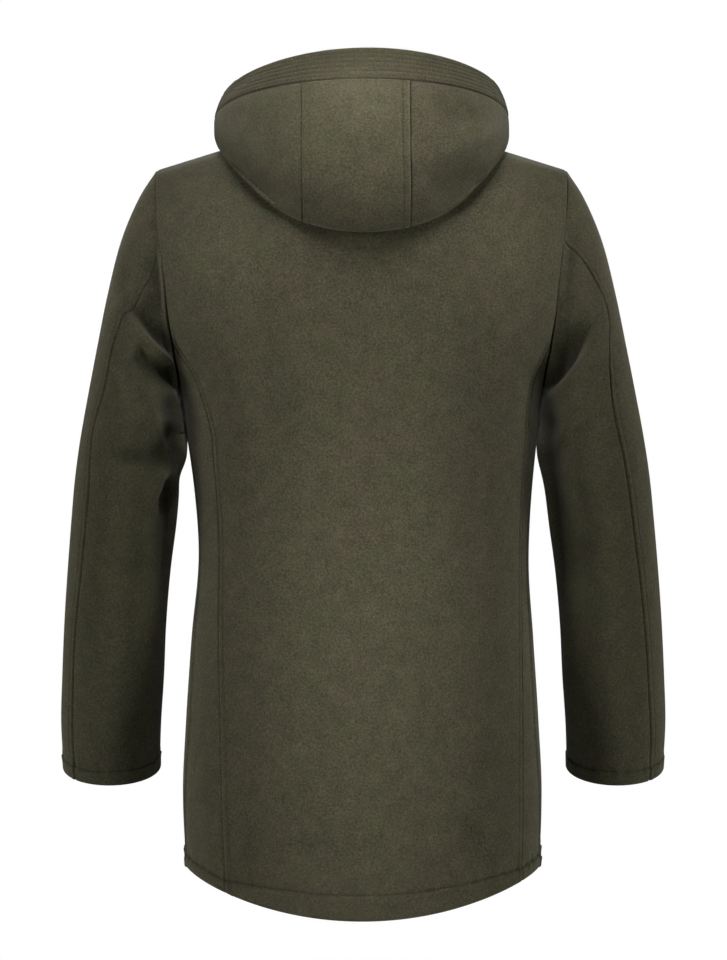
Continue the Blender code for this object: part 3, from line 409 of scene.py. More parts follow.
def sleeveRings(side):
    rows = np.array(sleeveSections)
    spread = sleeveSpread[side] * ease(np.arange(len(rows)) / (len(rows) - 1))
    outer = np.stack((rows[:, 0] + spread, rows[:, 4], rows[:, 1]), -1)
    inner = np.stack((rows[:, 2] + spread, rows[:, 4], rows[:, 3]), -1)
    centre = 0.5 * (outer + inner)
    padded = np.concatenate((centre[:1], centre, centre[-1:]))
    axis = unit(padded[2:] - padded[:-2])
    behind = unit(np.cross(unit(outer - inner), axis))
    behind[behind[:, 1] < 0] *= -1
    behind[:sleeveSizes["ownFrom"]] = (0.0, 1.0, 0.0)
    return {"outer": outer, "inner": inner, "centre": centre, "behind": behind * rows[:, 5:6],
            "own": ease(np.arange(len(rows)) / sleeveSizes["ownFrom"])[:, None]}


ringsOf = {side: sleeveRings(side) for side in ("left", "right")}
shoulderTip, armpit = armhole(0.0), armhole(180.0)


def sleeveRing(turn, number, side):
    rings = ringsOf[side]
    k = np.maximum(number - 1, 0)
    angle = np.radians(turn)[..., None]
    outer, inner, centre = rings["outer"][k], rings["inner"][k], rings["centre"][k]
    start = armhole(turn)
    oval = centre + 0.5 * (outer - inner) * np.cos(angle) + rings["behind"][k] * np.sin(angle)
    share = 0.5 * (1 - np.cos(angle))
    moved = start + (outer - shoulderTip) * (1 - share) + (inner - armpit) * share
    return np.where((number == 0)[..., None], start, moved + (oval - moved) * rings["own"][k])


def sleeve(turn, section, side):            # the left sleeve's form, with the folds of the named side
    last = len(sleeveSections)
    i = np.clip(section.astype(int), 0, last - 1)
    t = (section - i)[..., None]
    here, there = sleeveRing(turn, i, side), sleeveRing(turn, i + 1, side)
    before = sleeveRing(turn, np.maximum(i - 1, 0), side)
    after = sleeveRing(turn, np.minimum(i + 2, last), side)
    startSlope = np.where((i > 0)[..., None], 0.5 * (there - before), there - here)
    points = (here * (1 + 2 * t) * (1 - t) ** 2 + startSlope * t * (1 - t) ** 2
              + there * t * t * (3 - 2 * t) + 0.5 * (after - here) * t * t * (t - 1))
    centre = ringsOf[side]["centre"][np.clip(np.round(section).astype(int) - 1, 0, last - 1)]
    outward = unit((points - centre) * np.array((1.0, 1.0, sleeveSizes["outwardRise"])))
    depth = foldDepth(sleeveFolds[side], section, turn) * ease(section / sleeveSizes["foldStart"])
    depth = depth + foldDepth(sleeveSwells[side], section, turn) * ease(section)
    return points + outward * depth[..., None]


# form of the hood, from the neck seam, under the pouch, round its fold and up to the rim
hoodSizes = {
    "clearance": 0.0045, "rest": 0.006, "tilt": 0.02, "tiltLevel": 9.0, "standLevel": 2.0, "cornerSag": 0.6,
    "bandSeamLevel": 11.0, "rimLevel": 13.0, "frontGap": 0.0002, "restStart": 1.2, "restLeast": 0.0005,
    "coatLevel": 6.5, "coatSteps": 105,
}
hoodColumns = ("halfWidth", "back", "front", "zBack", "zSide", "zFront", "square", "shift", "seamLeft",
               "seamRight")
hoodSections = (
    (0.0850, 0.0550, 0.0980, -0.0220, 0.0000, -0.0950, 0.00, 0.0000, 0.0580, 0.0580),
    (0.0890, 0.0620, 0.1000, -0.0060, 0.0100, -0.0870, 0.00, 0.0000, 0.0590, 0.0570),
    (0.0980, 0.0725, 0.1020, 0.0020, 0.0170, -0.0810, 0.05, 0.0000, 0.0600, 0.0560),
    (0.1120, 0.0850, 0.1040, -0.0160, 0.0130, -0.0765, 0.05, -0.0012, 0.0620, 0.0540),
    (0.1280, 0.0990, 0.1060, -0.0500, 0.0020, -0.0730, 0.00, -0.0028, 0.0646, 0.0516),
    (0.1400, 0.1130, 0.1080, -0.0900, -0.0085, -0.0700, -0.05, -0.0040, 0.0668, 0.0494),
    (0.1500, 0.1320, 0.1100, -0.1250, -0.0170, -0.0675, -0.10, -0.0040, 0.0673, 0.0493),
    (0.1600, 0.1480, 0.1115, -0.1100, -0.0110, -0.0650, -0.10, -0.0040, 0.0673, 0.0493),
    (0.1650, 0.1620, 0.1125, -0.0700, -0.0030, -0.0625, 0.05, -0.0032, 0.0665, 0.0500),
    (0.1650, 0.1680, 0.1130, -0.0230, 0.0030, -0.0605, 0.15, -0.0016, 0.0650, 0.0506),
    (0.1648, 0.1630, 0.1135, 0.0150, 0.0080, -0.0590, 0.15, 0.0000, 0.0636, 0.0520),
    (0.1635, 0.1520, 0.1140, 0.0390, 0.0115, -0.0575, 0.06, 0.0000, 0.0636, 0.0520),
    (0.1600, 0.1445, 0.1170, 0.0560, 0.0235, -0.0440, -0.05, 0.0000, 0.0636, 0.0520),
    (0.1545, 0.1360, 0.1190, 0.0735, 0.0350, -0.0310, -0.15, 0.0000, 0.0636, 0.0520),
)
hoodAt = curvesThrough(hoodColumns, hoodSections)
coatLevels = np.linspace(0.0, hoodSizes["coatLevel"], hoodSizes["coatSteps"])
coatAt = {name: readAt(bodyAt, name, coatLevels) for name in bodyColumns}


def clearOfCoat(points, clearance, rest):   # moves the hood's points out until they rest clear of the coat
    moved = points.copy()
    for number, point in enumerate(points):
        across = np.minimum(abs(point[0]) / coatAt["halfWidth"], 1.0)
        depth = coatAt["back"] if point[1] >= 0 else -coatAt["front"]
        y = depth * np.sqrt(1 - across * across) * (1 + coat["squareness"] * across * across)
        z = -coatAt["drop"] - coatAt["slope"] * coat["shoulderSlope"] * slopeRun(point[0])
        line = np.stack((y, z), 1)
        here = point[1:]
        steps = line[1:] - line[:-1]
        shares = np.clip(np.sum((here - line[:-1]) * steps, 1) / np.sum(steps * steps, 1), 0.0, 1.0)
        nearest = line[:-1] + steps * shares[:, None]
        best = int(np.argmin(np.sum((nearest - here) ** 2, 1)))
        step = steps[best] / np.linalg.norm(steps[best])
        normal = np.array((-step[1], step[0])) if point[1] >= 0 else np.array((step[1], -step[0]))
        gap = (here - nearest[best]) @ normal
        blend = max(rest[number] - abs(gap - clearance[number]), 0.0) / rest[number]
        wanted = max(gap, clearance[number]) + blend * blend * rest[number] / 4
        moved[number, 1:] += normal * (wanted - gap)
    return moved


def hoodRing(turn, level):
    angle = np.radians(turn)
    across, along = np.sin(angle), np.cos(angle)
    behind = along > 0
    square = np.where(behind, readAt(hoodAt, "square", level), 0.0)
    sideZ = readAt(hoodAt, "zSide", level)
    endZ = np.where(behind, readAt(hoodAt, "zBack", level), readAt(hoodAt, "zFront", level))
    depth = np.where(behind, readAt(hoodAt, "back", level), readAt(hoodAt, "front", level))
    x = readAt(hoodAt, "halfWidth", level) * across + readAt(hoodAt, "shift", level) * np.maximum(along, 0.0)
    y = depth * along * (1 + square * across * across)
    z = sideZ + (endZ - sideZ) * np.abs(along) * (1 + hoodSizes["cornerSag"] * square * across * across)
    tiltRise = (level - hoodSizes["tiltLevel"]) / (hoodSizes["rimLevel"] - hoodSizes["tiltLevel"])
    return np.stack((x, y, z - hoodSizes["tilt"] * x * ease(tiltRise)), -1)


def hood(turn, level):
    points = hoodRing(turn, level)
    left = (turn + 180.0) % 360.0 - 180.0
    neckLevel, neckAngle = neckPlace(np.abs(left))
    neckline = body(neckAngle, neckLevel)
    neckline[..., 0] *= np.where(left >= 0, 1.0, -1.0)
    stand = 1 - ease(level / hoodSizes["standLevel"])
    points = points + (neckline - hoodRing(turn, 0 * level)) * stand[..., None]
    low = level <= hoodSizes["bandSeamLevel"] - 1
    start = ease(level[low] / hoodSizes["restStart"])
    rest = hoodSizes["restLeast"] + hoodSizes["rest"] * start
    points[low] = clearOfCoat(points[low], hoodSizes["clearance"] * start, rest)
    return points


def hoodSeamTurn(level, side):
    return np.degrees(np.arcsin(readAt(hoodAt, "seam" + side, level) / readAt(hoodAt, "halfWidth", level)))


def hoodFrontTurn(level):
    return 180.0 - np.degrees(np.arcsin(hoodSizes["frontGap"] / readAt(hoodAt, "halfWidth", level)))


print("forms ready")

# how cloth is finished at its edges, in metres; some finishes also lay painted shade along their seam or
# stitch line, as a share
finishes = {
    "seam": {"groove": 0.0021, "grooveReach": 0.0011},
    "topped": {"groove": 0.0021, "grooveReach": 0.0011, "strip": 0.0004, "stripWidth": 0.0070,
               "stitch": 0.0009, "paintedShade": 0.3},
    "hoodTopped": {"groove": 0.0015, "grooveReach": 0.0009, "strip": 0.0003, "stripWidth": 0.0086,
                   "stitch": 0.0007},
    "hoodSeam": {"groove": 0.0015, "grooveReach": 0.0009, "paintedShade": 0.9},
    "tucked": {"sink": (0.0022, 0.0090), "holds": (1.0, 0.016)},
    "rolled": {"groove": 0.0018, "grooveReach": 0.0011, "roll": 0.0016, "rollAt": 0.0034,
               "rollReach": 0.0020},
    "hem": {"round": 0.0030, "strip": 0.0016, "stitch": 0.0020, "stitchReach": 0.0015, "fold": 0.0012,
            "pucker": 0.0006, "paintedShade": 0.8},
    "cuff": {"round": 0.0026, "strip": 0.0012, "stripWidth": 0.0170, "stitch": 0.0017, "fold": 0.0016,
             "pucker": 0.0005, "paintedShade": 0.3},
    "edge": {"round": 0.0020, "strip": 0.0005, "stripWidth": 0.0065, "stitch": 0.0008},
    "rim": {"round": 0.0023},
    "bandFold": {"round": 0.0016},
}
# sizes of the cloth, among them the fold depth at which the painted shade in folds is darkest and the reach
# of the painted shade along seams
cloth = {"thickness": 0.003, "stitchReach": 0.0011, "stripFade": 0.0022, "puckerPitches": (0.0124, 0.0187),
         "puckerReach": 0.0060, "hollowDepth": 0.012, "deepest": 0.0022, "seamShadeReach": 0.0014,
         "stitchRows": (-0.0024, -0.0014, -0.0007, 0.0, 0.0007, 0.0014, 0.0022),
         "outerRounding": 0.62, "innerRounding": 0.42, "lipAt": 1.9, "lipReach": 1.1, "creaseFacing": 0.25,
         "stitchSink": 0.0002}
settleRounds = 4                            # rounds in which a panel's levels and angles settle
atEdge = 0.9999                             # a share past this is the edge itself


def sewnWidth(finish, width):               # how far from an edge its stitches run
    return finishes[finish].get("stripWidth", 0.0) if width is None else width


def edgeRelief(distance, along, finish, stripWidth=None):
    # how a finished edge rises and sinks, by the distance from it
    size = finishes[finish]
    width = sewnWidth(finish, stripWidth)
    rise = -size.get("groove", 0.0) * np.exp(-(distance / size.get("grooveReach", 1.0)) ** 2)
    if "roll" in size:
        rise = rise + size["roll"] * np.exp(-((distance - size["rollAt"]) / size["rollReach"]) ** 2)
    if "strip" in size:
        rise = rise + size["strip"] * (1 - ease((distance - width) / cloth["stripFade"]))
        reach = size.get("stitchReach", cloth["stitchReach"])
        rise = rise - size["stitch"] * np.exp(-((distance - width) / reach) ** 2)
    if "pucker" in size:
        waves = sum(np.sin(2 * math.pi * along / pitch) for pitch in cloth["puckerPitches"])
        rise = rise + size["pucker"] * waves * np.exp(-((distance - width) / cloth["puckerReach"]) ** 2)
    if "round" in size:
        inside = np.clip(1 - distance / size["round"], 0.0, 1.0)
        rise = rise - size["round"] * (1 - np.sqrt(1 - inside ** 2)) * cloth["outerRounding"]
    return rise


def crease(side, line, widths, depth, lips=(0, 0), ends=(0.3, 0.3)):
    # a trough along a line of (x, z) places, in millimetres; widths and lips are for its left and its right,
    # and ends are the shares of its length over which it fades out
    return {"side": side, "line": np.array(line) / 1000, "widths": np.array(widths) / 1000,
            "depth": depth / 1000, "lips": np.array(lips) / 1000, "ends": ends}


def mirrored(fold):
    return dict(fold, line=fold["line"] * (-1, 1), widths=fold["widths"][::-1], lips=fold["lips"][::-1])


def creaseRelief(points, normals, creases):
    total = np.zeros(points.shape[:2])
    flat = points[..., (0, 2)]
    for fold in creases:
        line = fold["line"]
        lengths = np.linalg.norm(np.diff(line, axis=0), axis=1)
        best = np.full(total.shape, 1e9)
        signed = np.zeros(total.shape)
        place = np.zeros(total.shape)
        done = 0.0
        for start, stop, length in zip(line, line[1:], lengths):
            way = (stop - start) / length
            offset = flat - start
            along = np.clip(offset @ way, 0.0, length)
            apart = offset - along[..., None] * way
            gap = np.linalg.norm(apart, axis=-1)
            nearer = gap < best
            best = np.where(nearer, gap, best)
            hand = np.sign(way[0] * apart[..., 1] - way[1] * apart[..., 0])
            signed = np.where(nearer, hand * gap, signed)
            place = np.where(nearer, (done + along) / lengths.sum(), place)
            done += length
        rise, fall = fold["ends"]
        taper = ease(place / rise) * ease((1 - place) / fall)
        facing = ease(normals[..., 1] * (1 if fold["side"] == "back" else -1) / cloth["creaseFacing"])
        left, right = fold["widths"]
        leftLip, rightLip = fold["lips"]
        shape = -fold["depth"] * np.exp(-(signed / np.where(signed > 0, left, right)) ** 2)
        for lip, beside in ((leftLip, left), (rightLip, -right)):
            fromLip = (signed - cloth["lipAt"] * beside) / (cloth["lipReach"] * beside)
            shape = shape + lip * np.exp(-fromLip ** 2)
        total += shape * taper * facing
    return total


def gridNormals(points):
    down, across = np.gradient(points, axis=0), np.gradient(points, axis=1)
    return unit(np.cross(across, down))


def arcFrom(points, axis):
    # lengths along the cloth from its first row or column
    steps = np.linalg.norm(np.diff(points, axis=axis), axis=-1)
    start = np.zeros_like(np.take(steps, [0], axis=axis))
    return np.concatenate((start, np.cumsum(steps, axis=axis)), axis=axis)


edgeSteps = (0.0, 0.0004, 0.0009, 0.0014, 0.0020, 0.0028, 0.0038, 0.0048, 0.0054, 0.0060, 0.0066, 0.0072,
             0.0080, 0.0092, 0.0115, 0.0150)


def stations(width, step, startFine=True, endFine=True, extra=()):
    # shares of a width, one for each step and more of them near a finished edge
    fine = np.array(edgeSteps) / width
    count = max(int(round(width / step)), 4)
    inner = np.linspace(0.0, 1.0, count + 1)
    low = fine[-1] if startFine else -1.0
    high = 1 - fine[-1] if endFine else 2.0
    parts = [inner[(inner > low + 0.3 / count) & (inner < high - 0.3 / count)]]
    parts.append(fine if startFine else np.array([0.0]))
    parts.append(1 - fine if endFine else np.array([1.0]))
    parts.append(np.array(extra))
    return np.unique(np.round(np.concatenate(parts), 7))


def wallMesh(name, outer, inner, cutMap, hollow):
    # a closed wall of cloth from its outer and its inner sheet
    rows, columns = outer.shape[:2]
    behind = rows * columns
    index = np.arange(behind).reshape(rows, columns)
    quads = np.stack((index[:-1, :-1], index[:-1, 1:], index[1:, 1:], index[1:, :-1]), -1).reshape(-1, 4)
    loop = np.concatenate((index[0, :-1], index[:-1, -1], index[-1, :0:-1], index[:0:-1, 0]))
    following = np.roll(loop, -1)
    rim = np.stack((loop, loop + behind, following + behind, following), -1)
    faces = np.concatenate((quads, quads[:, ::-1] + behind, rim))
    mesh = bpy.data.meshes.new(name)
    places = np.concatenate((outer.reshape(-1, 3), inner.reshape(-1, 3)))
    mesh.from_pydata(places.tolist(), [], faces.tolist())
    flat = np.concatenate((cutMap.reshape(-1, 2), cutMap.reshape(-1, 2)))
    layer = mesh.uv_layers.new(name="cut")
    corners = np.zeros(len(mesh.loops), np.int32)
    mesh.loops.foreach_get("vertex_index", corners)
    layer.data.foreach_set("uv", flat[corners].astype(np.float32).ravel())
    # the painted shade mask goes to the material as a point attribute
    paintedShade = mesh.attributes.new("hollow", "FLOAT", "POINT")
    paintedShade.data.foreach_set("value", np.concatenate((hollow.ravel(), hollow.ravel())).astype(np.float32))
    mesh.shade_smooth()
    mesh.update()
    return mesh


panels = {}
stitchLines = {"hood": [], "body": [], "sleeves": []}


def closeRows(points, stitch):
    # row places, with close ones on both sides of a stitch line along the bottom edge
    fromTop = arcFrom(points, 0)
    close = fromTop[-1:] - stitch + np.array(cloth["stitchRows"])[:, None]
    wanted = np.sort(np.concatenate((fromTop, close)), axis=0)
    order = np.arange(len(fromTop))
    return np.stack([np.interp(wanted[:, k], fromTop[:, k], order) for k in range(wanted.shape[1])], 1)


def atRows(values, places):
    # values read at places between the rows, a list of places for each column
    low = np.minimum(places.astype(int), len(values) - 2)
    share = (places - low).reshape(places.shape + (1,) * (values.ndim - 2))
    column = np.arange(places.shape[1])
    return values[low, column] * (1 - share) + values[low + 1, column] * share


def withStitchRows(points, edges):
    # adds the close rows where the bottom edge is stitched, and gives every edge's share on the new rows
    for edge, finish, _, width in list(edges):
        if edge == "bottom" and "strip" in finishes[finish]:
            places = closeRows(points, sewnWidth(finish, width))
            before = points.shape[:2]
            points = atRows(points, places)
            edges = [(*row[:2], atRows(np.broadcast_to(row[2], before), places), row[3]) for row in edges]
    return points, edges


def makePanel(name, points, edges, creases=(), thickness=None, proud=0.0):
    # points run down the rows and across the columns, so that their normals face out of the coat
    points, edges = withStitchRows(points, edges)
    normals = gridNormals(points)
    thick = cloth["thickness"] if thickness is None else thickness
    fromTop, fromStart = arcFrom(points, 0), arcFrom(points, 1)
    distances = {"top": fromTop, "bottom": fromTop[-1:] - fromTop,
                 "start": fromStart, "end": fromStart[:, -1:] - fromStart}
    folds = creaseRelief(points, normals, creases)
    for edge, finish, share, width in edges:
        if "holds" in finishes[finish]:
            held, reach = finishes[finish]["holds"]     # folds die out towards such a seam
            folds = folds * (1 - held * (1 - ease(distances[edge] / reach)))
        if "sink" in finishes[finish]:
            sink, reach = finishes[finish]["sink"]
            folds = folds - sink * np.exp(-(distances[edge] / reach) ** 2) * share
    hollow = ease(-folds / cloth["hollowDepth"])   # painted shade in the folds, darker the deeper they sink
    dress = np.zeros(folds.shape)
    inset = thick - folds - proud
    for edge, finish, share, width in edges:
        size = finishes[finish]
        along = fromStart if edge in ("top", "bottom") else fromTop
        dress = dress + edgeRelief(distances[edge], along, finish, width) * share
        # painted shade along the finish's stitch line, or along the seam itself where it has no strip
        if "paintedShade" in size:
            near = np.exp(-((distances[edge] - sewnWidth(finish, width)) / cloth["seamShadeReach"]) ** 2)
            hollow = np.maximum(hollow, size["paintedShade"] * share * near)
        if "round" in size:
            inside = np.clip(1 - distances[edge] / size["round"], 0.0, 1.0)
            inset = inset - (thick * cloth["innerRounding"]) * (1 - np.sqrt(1 - inside ** 2))
        if "fold" in size:
            past = distances[edge] - sewnWidth(finish, width)
            inset = inset + size["fold"] * (1 - ease(past / cloth["stripFade"]))
    outer = points + normals * (folds + proud + np.maximum(dress, -cloth["deepest"]))[..., None]
    inner = points - normals * inset[..., None]
    cutMap = np.stack((fromStart, -fromTop), -1)
    mesh = wallMesh("wool_" + name, outer, inner, cutMap, hollow)
    piece = addObject("wool_" + name, mesh)
    panels[name] = {"piece": piece, "outer": outer, "normals": normals, "distances": distances}
    patches = np.cross(np.diff(outer, axis=0)[:, :-1], np.diff(outer, axis=1)[:-1])
    area = np.sum(np.linalg.norm(patches, axis=-1))
    print("made", piece.name, len(mesh.polygons), "faces, area", round(float(area), 4), "widest",
          round(float(fromStart[:, -1].max()), 3), "longest", round(float(fromTop[-1].max()), 3))


def lineAlong(name, edge, distance, sink=cloth["stitchSink"]):
    # the line of stitches at a distance from a panel's edge, on its outer sheet
    panel = panels[name]
    outer, gaps, normals = panel["outer"], panel["distances"][edge], panel["normals"]
    if edge in ("top", "bottom"):
        outer, gaps, normals = outer.transpose(1, 0, 2), gaps.T, normals.transpose(1, 0, 2)
    if edge in ("end", "bottom"):
        outer, gaps, normals = outer[:, ::-1], gaps[:, ::-1], normals[:, ::-1]
    wanted = np.broadcast_to(distance, outer.shape[:1])
    line = []
    for row, gapRow, normalRow, at in zip(outer, gaps, normals, wanted):
        k = min(max(int(np.searchsorted(gapRow, at)), 1), len(gapRow) - 1)
        t = min(max((at - gapRow[k - 1]) / max(gapRow[k] - gapRow[k - 1], 1e-9), 0.0), 1.0)
        line.append(row[k - 1] + (row[k] - row[k - 1]) * t - normalRow[k] * sink)
    return np.array(line)


# the back
backPanel = {
    "columnStep": 0.0036, "halfWidth": 0.215, "upperRows": 66, "upperLength": 0.31, "lowerRows": 132,
    "lowerLength": 0.63, "sideWidth": 0.10, "sideLength": 0.60, "hemStitchMiddle": 0.028,
    "hemStitchSide": 0.014, "seamFade": 0.5, "fadeFrom": 8.0, "fadeOver": 4.0,
}
backCreases = [
    crease("back", [(145, -770), (100, -786), (40, -792), (-30, -786)], (16, 12), 2.8, (1.2, 0)),
    crease("back", [(-40, -812), (-85, -806), (-120, -790)], (12, 12), 2.2, (1, 0)),
    crease("back", [(-105, -745), (-122, -790), (-128, -825)], (14, 14), 3.6, (1.6, 1.2)),
    crease("back", [(118, -730), (126, -790), (128, -845)], (14, 16), 3.4, (1.2, 1.2)),
    crease("back", [(100, -150), (102, -260), (96, -380)], (20, 22), 2.4, (1, 1)),
    crease("back", [(-126, -150), (-131, -260), (-124, -380)], (22, 18), 2.4, (1, 1)),
    crease("back", [(165, -300), (150, -345), (120, -372)], (16, 16), 1.6, (0.8, 0)),
    crease("back", [(152, -35), (134.5, -65), (113, -87), (93, -102), (70, -116)], (11, 11), 7,
           ends=(0.25, 0.4)),
    crease("back", [(-160, -35), (-140, -67), (-116, -90), (-93, -105), (-69, -117)], (11, 11), 7,
           ends=(0.25, 0.4)),
    crease("back", [(-168, -295), (-150, -350), (-115, -384)], (16, 16), 1.6, (0, 0.8)),
]


def hemRows(count, length):
    return stations(length, length / count, False, True)


def seamShare(level):                       # the princess seams grow fainter downwards
    return 1 - backPanel["seamFade"] * ease((level - backPanel["fadeFrom"]) / backPanel["fadeOver"])


def makeBackCentre():
    side = stations(backPanel["halfWidth"], backPanel["columnStep"], False, True)
    t = np.concatenate((-side[:0:-1], side))
    reach = np.abs(t)
    station = np.minimum(180.0 * reach, 90.0)
    levelTop, angleTop = neckPlace(station)
    onShoulder = reach >= 0.5
    shoulderX = coat["neckHalf"] + shoulderLength * np.clip(2 * reach - 1, 0.0, 1.0)
    levelTop = np.where(onShoulder, 0.0, levelTop)
    angleTop = np.where(onShoulder, np.degrees(np.arcsin(shoulderX / bodySections[0][1])), angleTop)
    shareTop = angleTop / tipAngle
    shareLow = np.where(reach > atEdge, 1.0, 0.5 * (reach + shareTop))
    sign = np.sign(t) + (t == 0)
    upperLength = backPanel["upperLength"]
    upper = stations(upperLength, upperLength / backPanel["upperRows"], True, False)[:, None]
    level = levelTop + (coat["princessLevel"] - levelTop) * upper
    angle = (shareTop + (shareLow - shareTop) * ease(upper)) * armholeAngle(level)
    lower = hemRows(backPanel["lowerRows"], backPanel["lowerLength"])[1:, None]
    lowLevel = np.full((len(lower), len(t)), coat["princessLevel"])
    for _ in range(settleRounds):
        leftSeam, rightSeam = (readAt(seamAt, name, lowLevel) for name in ("princessLeft", "princessRight"))
        lowAngle = shareLow * np.where(sign > 0, leftSeam, rightSeam)
        lowLevel = coat["princessLevel"] + (hemLevel(lowAngle) - coat["princessLevel"]) * lower
    levels = np.concatenate((level, lowLevel))
    points = body(np.concatenate((angle, lowAngle)) * sign, levels)
    below = (np.arange(len(points)) >= len(upper) - 1).astype(float)[:, None]
    hemGain = backPanel["hemStitchMiddle"] - backPanel["hemStitchSide"]
    hemWidth = backPanel["hemStitchSide"] + hemGain * (1 - (shareLow * sign)[None, :] ** 2)
    fading = below * seamShare(levels)
    edges = [("top", "seam", onShoulder * 1.0, None), ("bottom", "hem", 1.0, hemWidth)]
    for edge in ("start", "end"):
        edges += [(edge, "topped", fading, None), (edge, "seam", 1 - below, None)]
    makePanel("back_centre", points, edges, backCreases)
    for edge in ("start", "end"):
        line = lineAlong("back_centre", edge, finishes["topped"]["stripWidth"])
        stitchLines["body"].append(line[len(upper):])
    stitchLines["body"].append(lineAlong("back_centre", "bottom", hemWidth[0]))


def makeBackSide(side):
    sign = 1.0 if side == "Left" else -1.0
    u = stations(backPanel["sideWidth"], backPanel["columnStep"], True, True)
    low, high = np.full(u.shape, coat["princessLevel"]), np.full(u.shape, coat["armpitLevel"])

    def above(level):
        seam = readAt(seamAt, "princess" + side, level)
        return seam + (90.0 - seam) * u > armholeAngle(level)

    top = solveBetween(low, high, above)
    top[0], top[-1] = coat["princessLevel"], coat["armpitLevel"]
    rows = hemRows(backPanel["lowerRows"], backPanel["sideLength"])[:, None]
    level = np.repeat(top[None, :], len(rows), 0)
    for _ in range(settleRounds):
        seam = readAt(seamAt, "princess" + side, level)
        angle = seam + (readAt(seamAt, "side", level) - seam) * u
        level = top + (hemLevel(angle) - top) * rows
    points, fading = body(sign * angle, level), seamShare(level)
    inner, outer = "start", "end"
    if side == "Right":
        points, fading, inner, outer = points[:, ::-1], fading[:, ::-1], "end", "start"
    name = "back_side_" + side.lower()
    edges = [(inner, "seam", fading, None), (outer, "rolled", 1.0, None), ("top", "seam", 1.0, None),
             ("bottom", "hem", 1.0, backPanel["hemStitchSide"])]
    makePanel(name, points, edges, backCreases)
    stitchLines["body"].append(lineAlong(name, "bottom", backPanel["hemStitchSide"]))


# the fronts: plain, the left one lapped over the right one
frontPanel = {
    "columnStep": 0.0045, "width": 0.26, "upperRows": 60, "upperLength": 0.30, "lowerRows": 110,
    "lowerLength": 0.54, "hemStitch": 0.022, "neckShare": 0.42, "armpitRows": (0.955, 0.965, 0.985, 0.993),
    "lowPower": 0.6, "spreadPower": 4,
}
frontCreases = [
    crease("front", [(150, -250), (118, -215), (85, -190)], (14, 14), 4, (1.8, 0)),
    crease("front", [(-152, -262), (-120, -230), (-80, -210)], (15, 15), 4.2, (0, 1.8)),
    crease("front", [(160, -330), (120, -345), (75, -338)], (13, 13), 2.4, (1.2, 0)),
    crease("front", [(-165, -500), (-120, -520), (-70, -512)], (15, 15), 2.6, (1.4, 0)),
    crease("front", [(140, -640), (120, -700), (118, -770)], (18, 18), 3.2, (1.4, 0)),
    crease("front", [(-135, -690), (-118, -740), (-122, -800)], (16, 16), 2.8, (0, 1.2)),
]


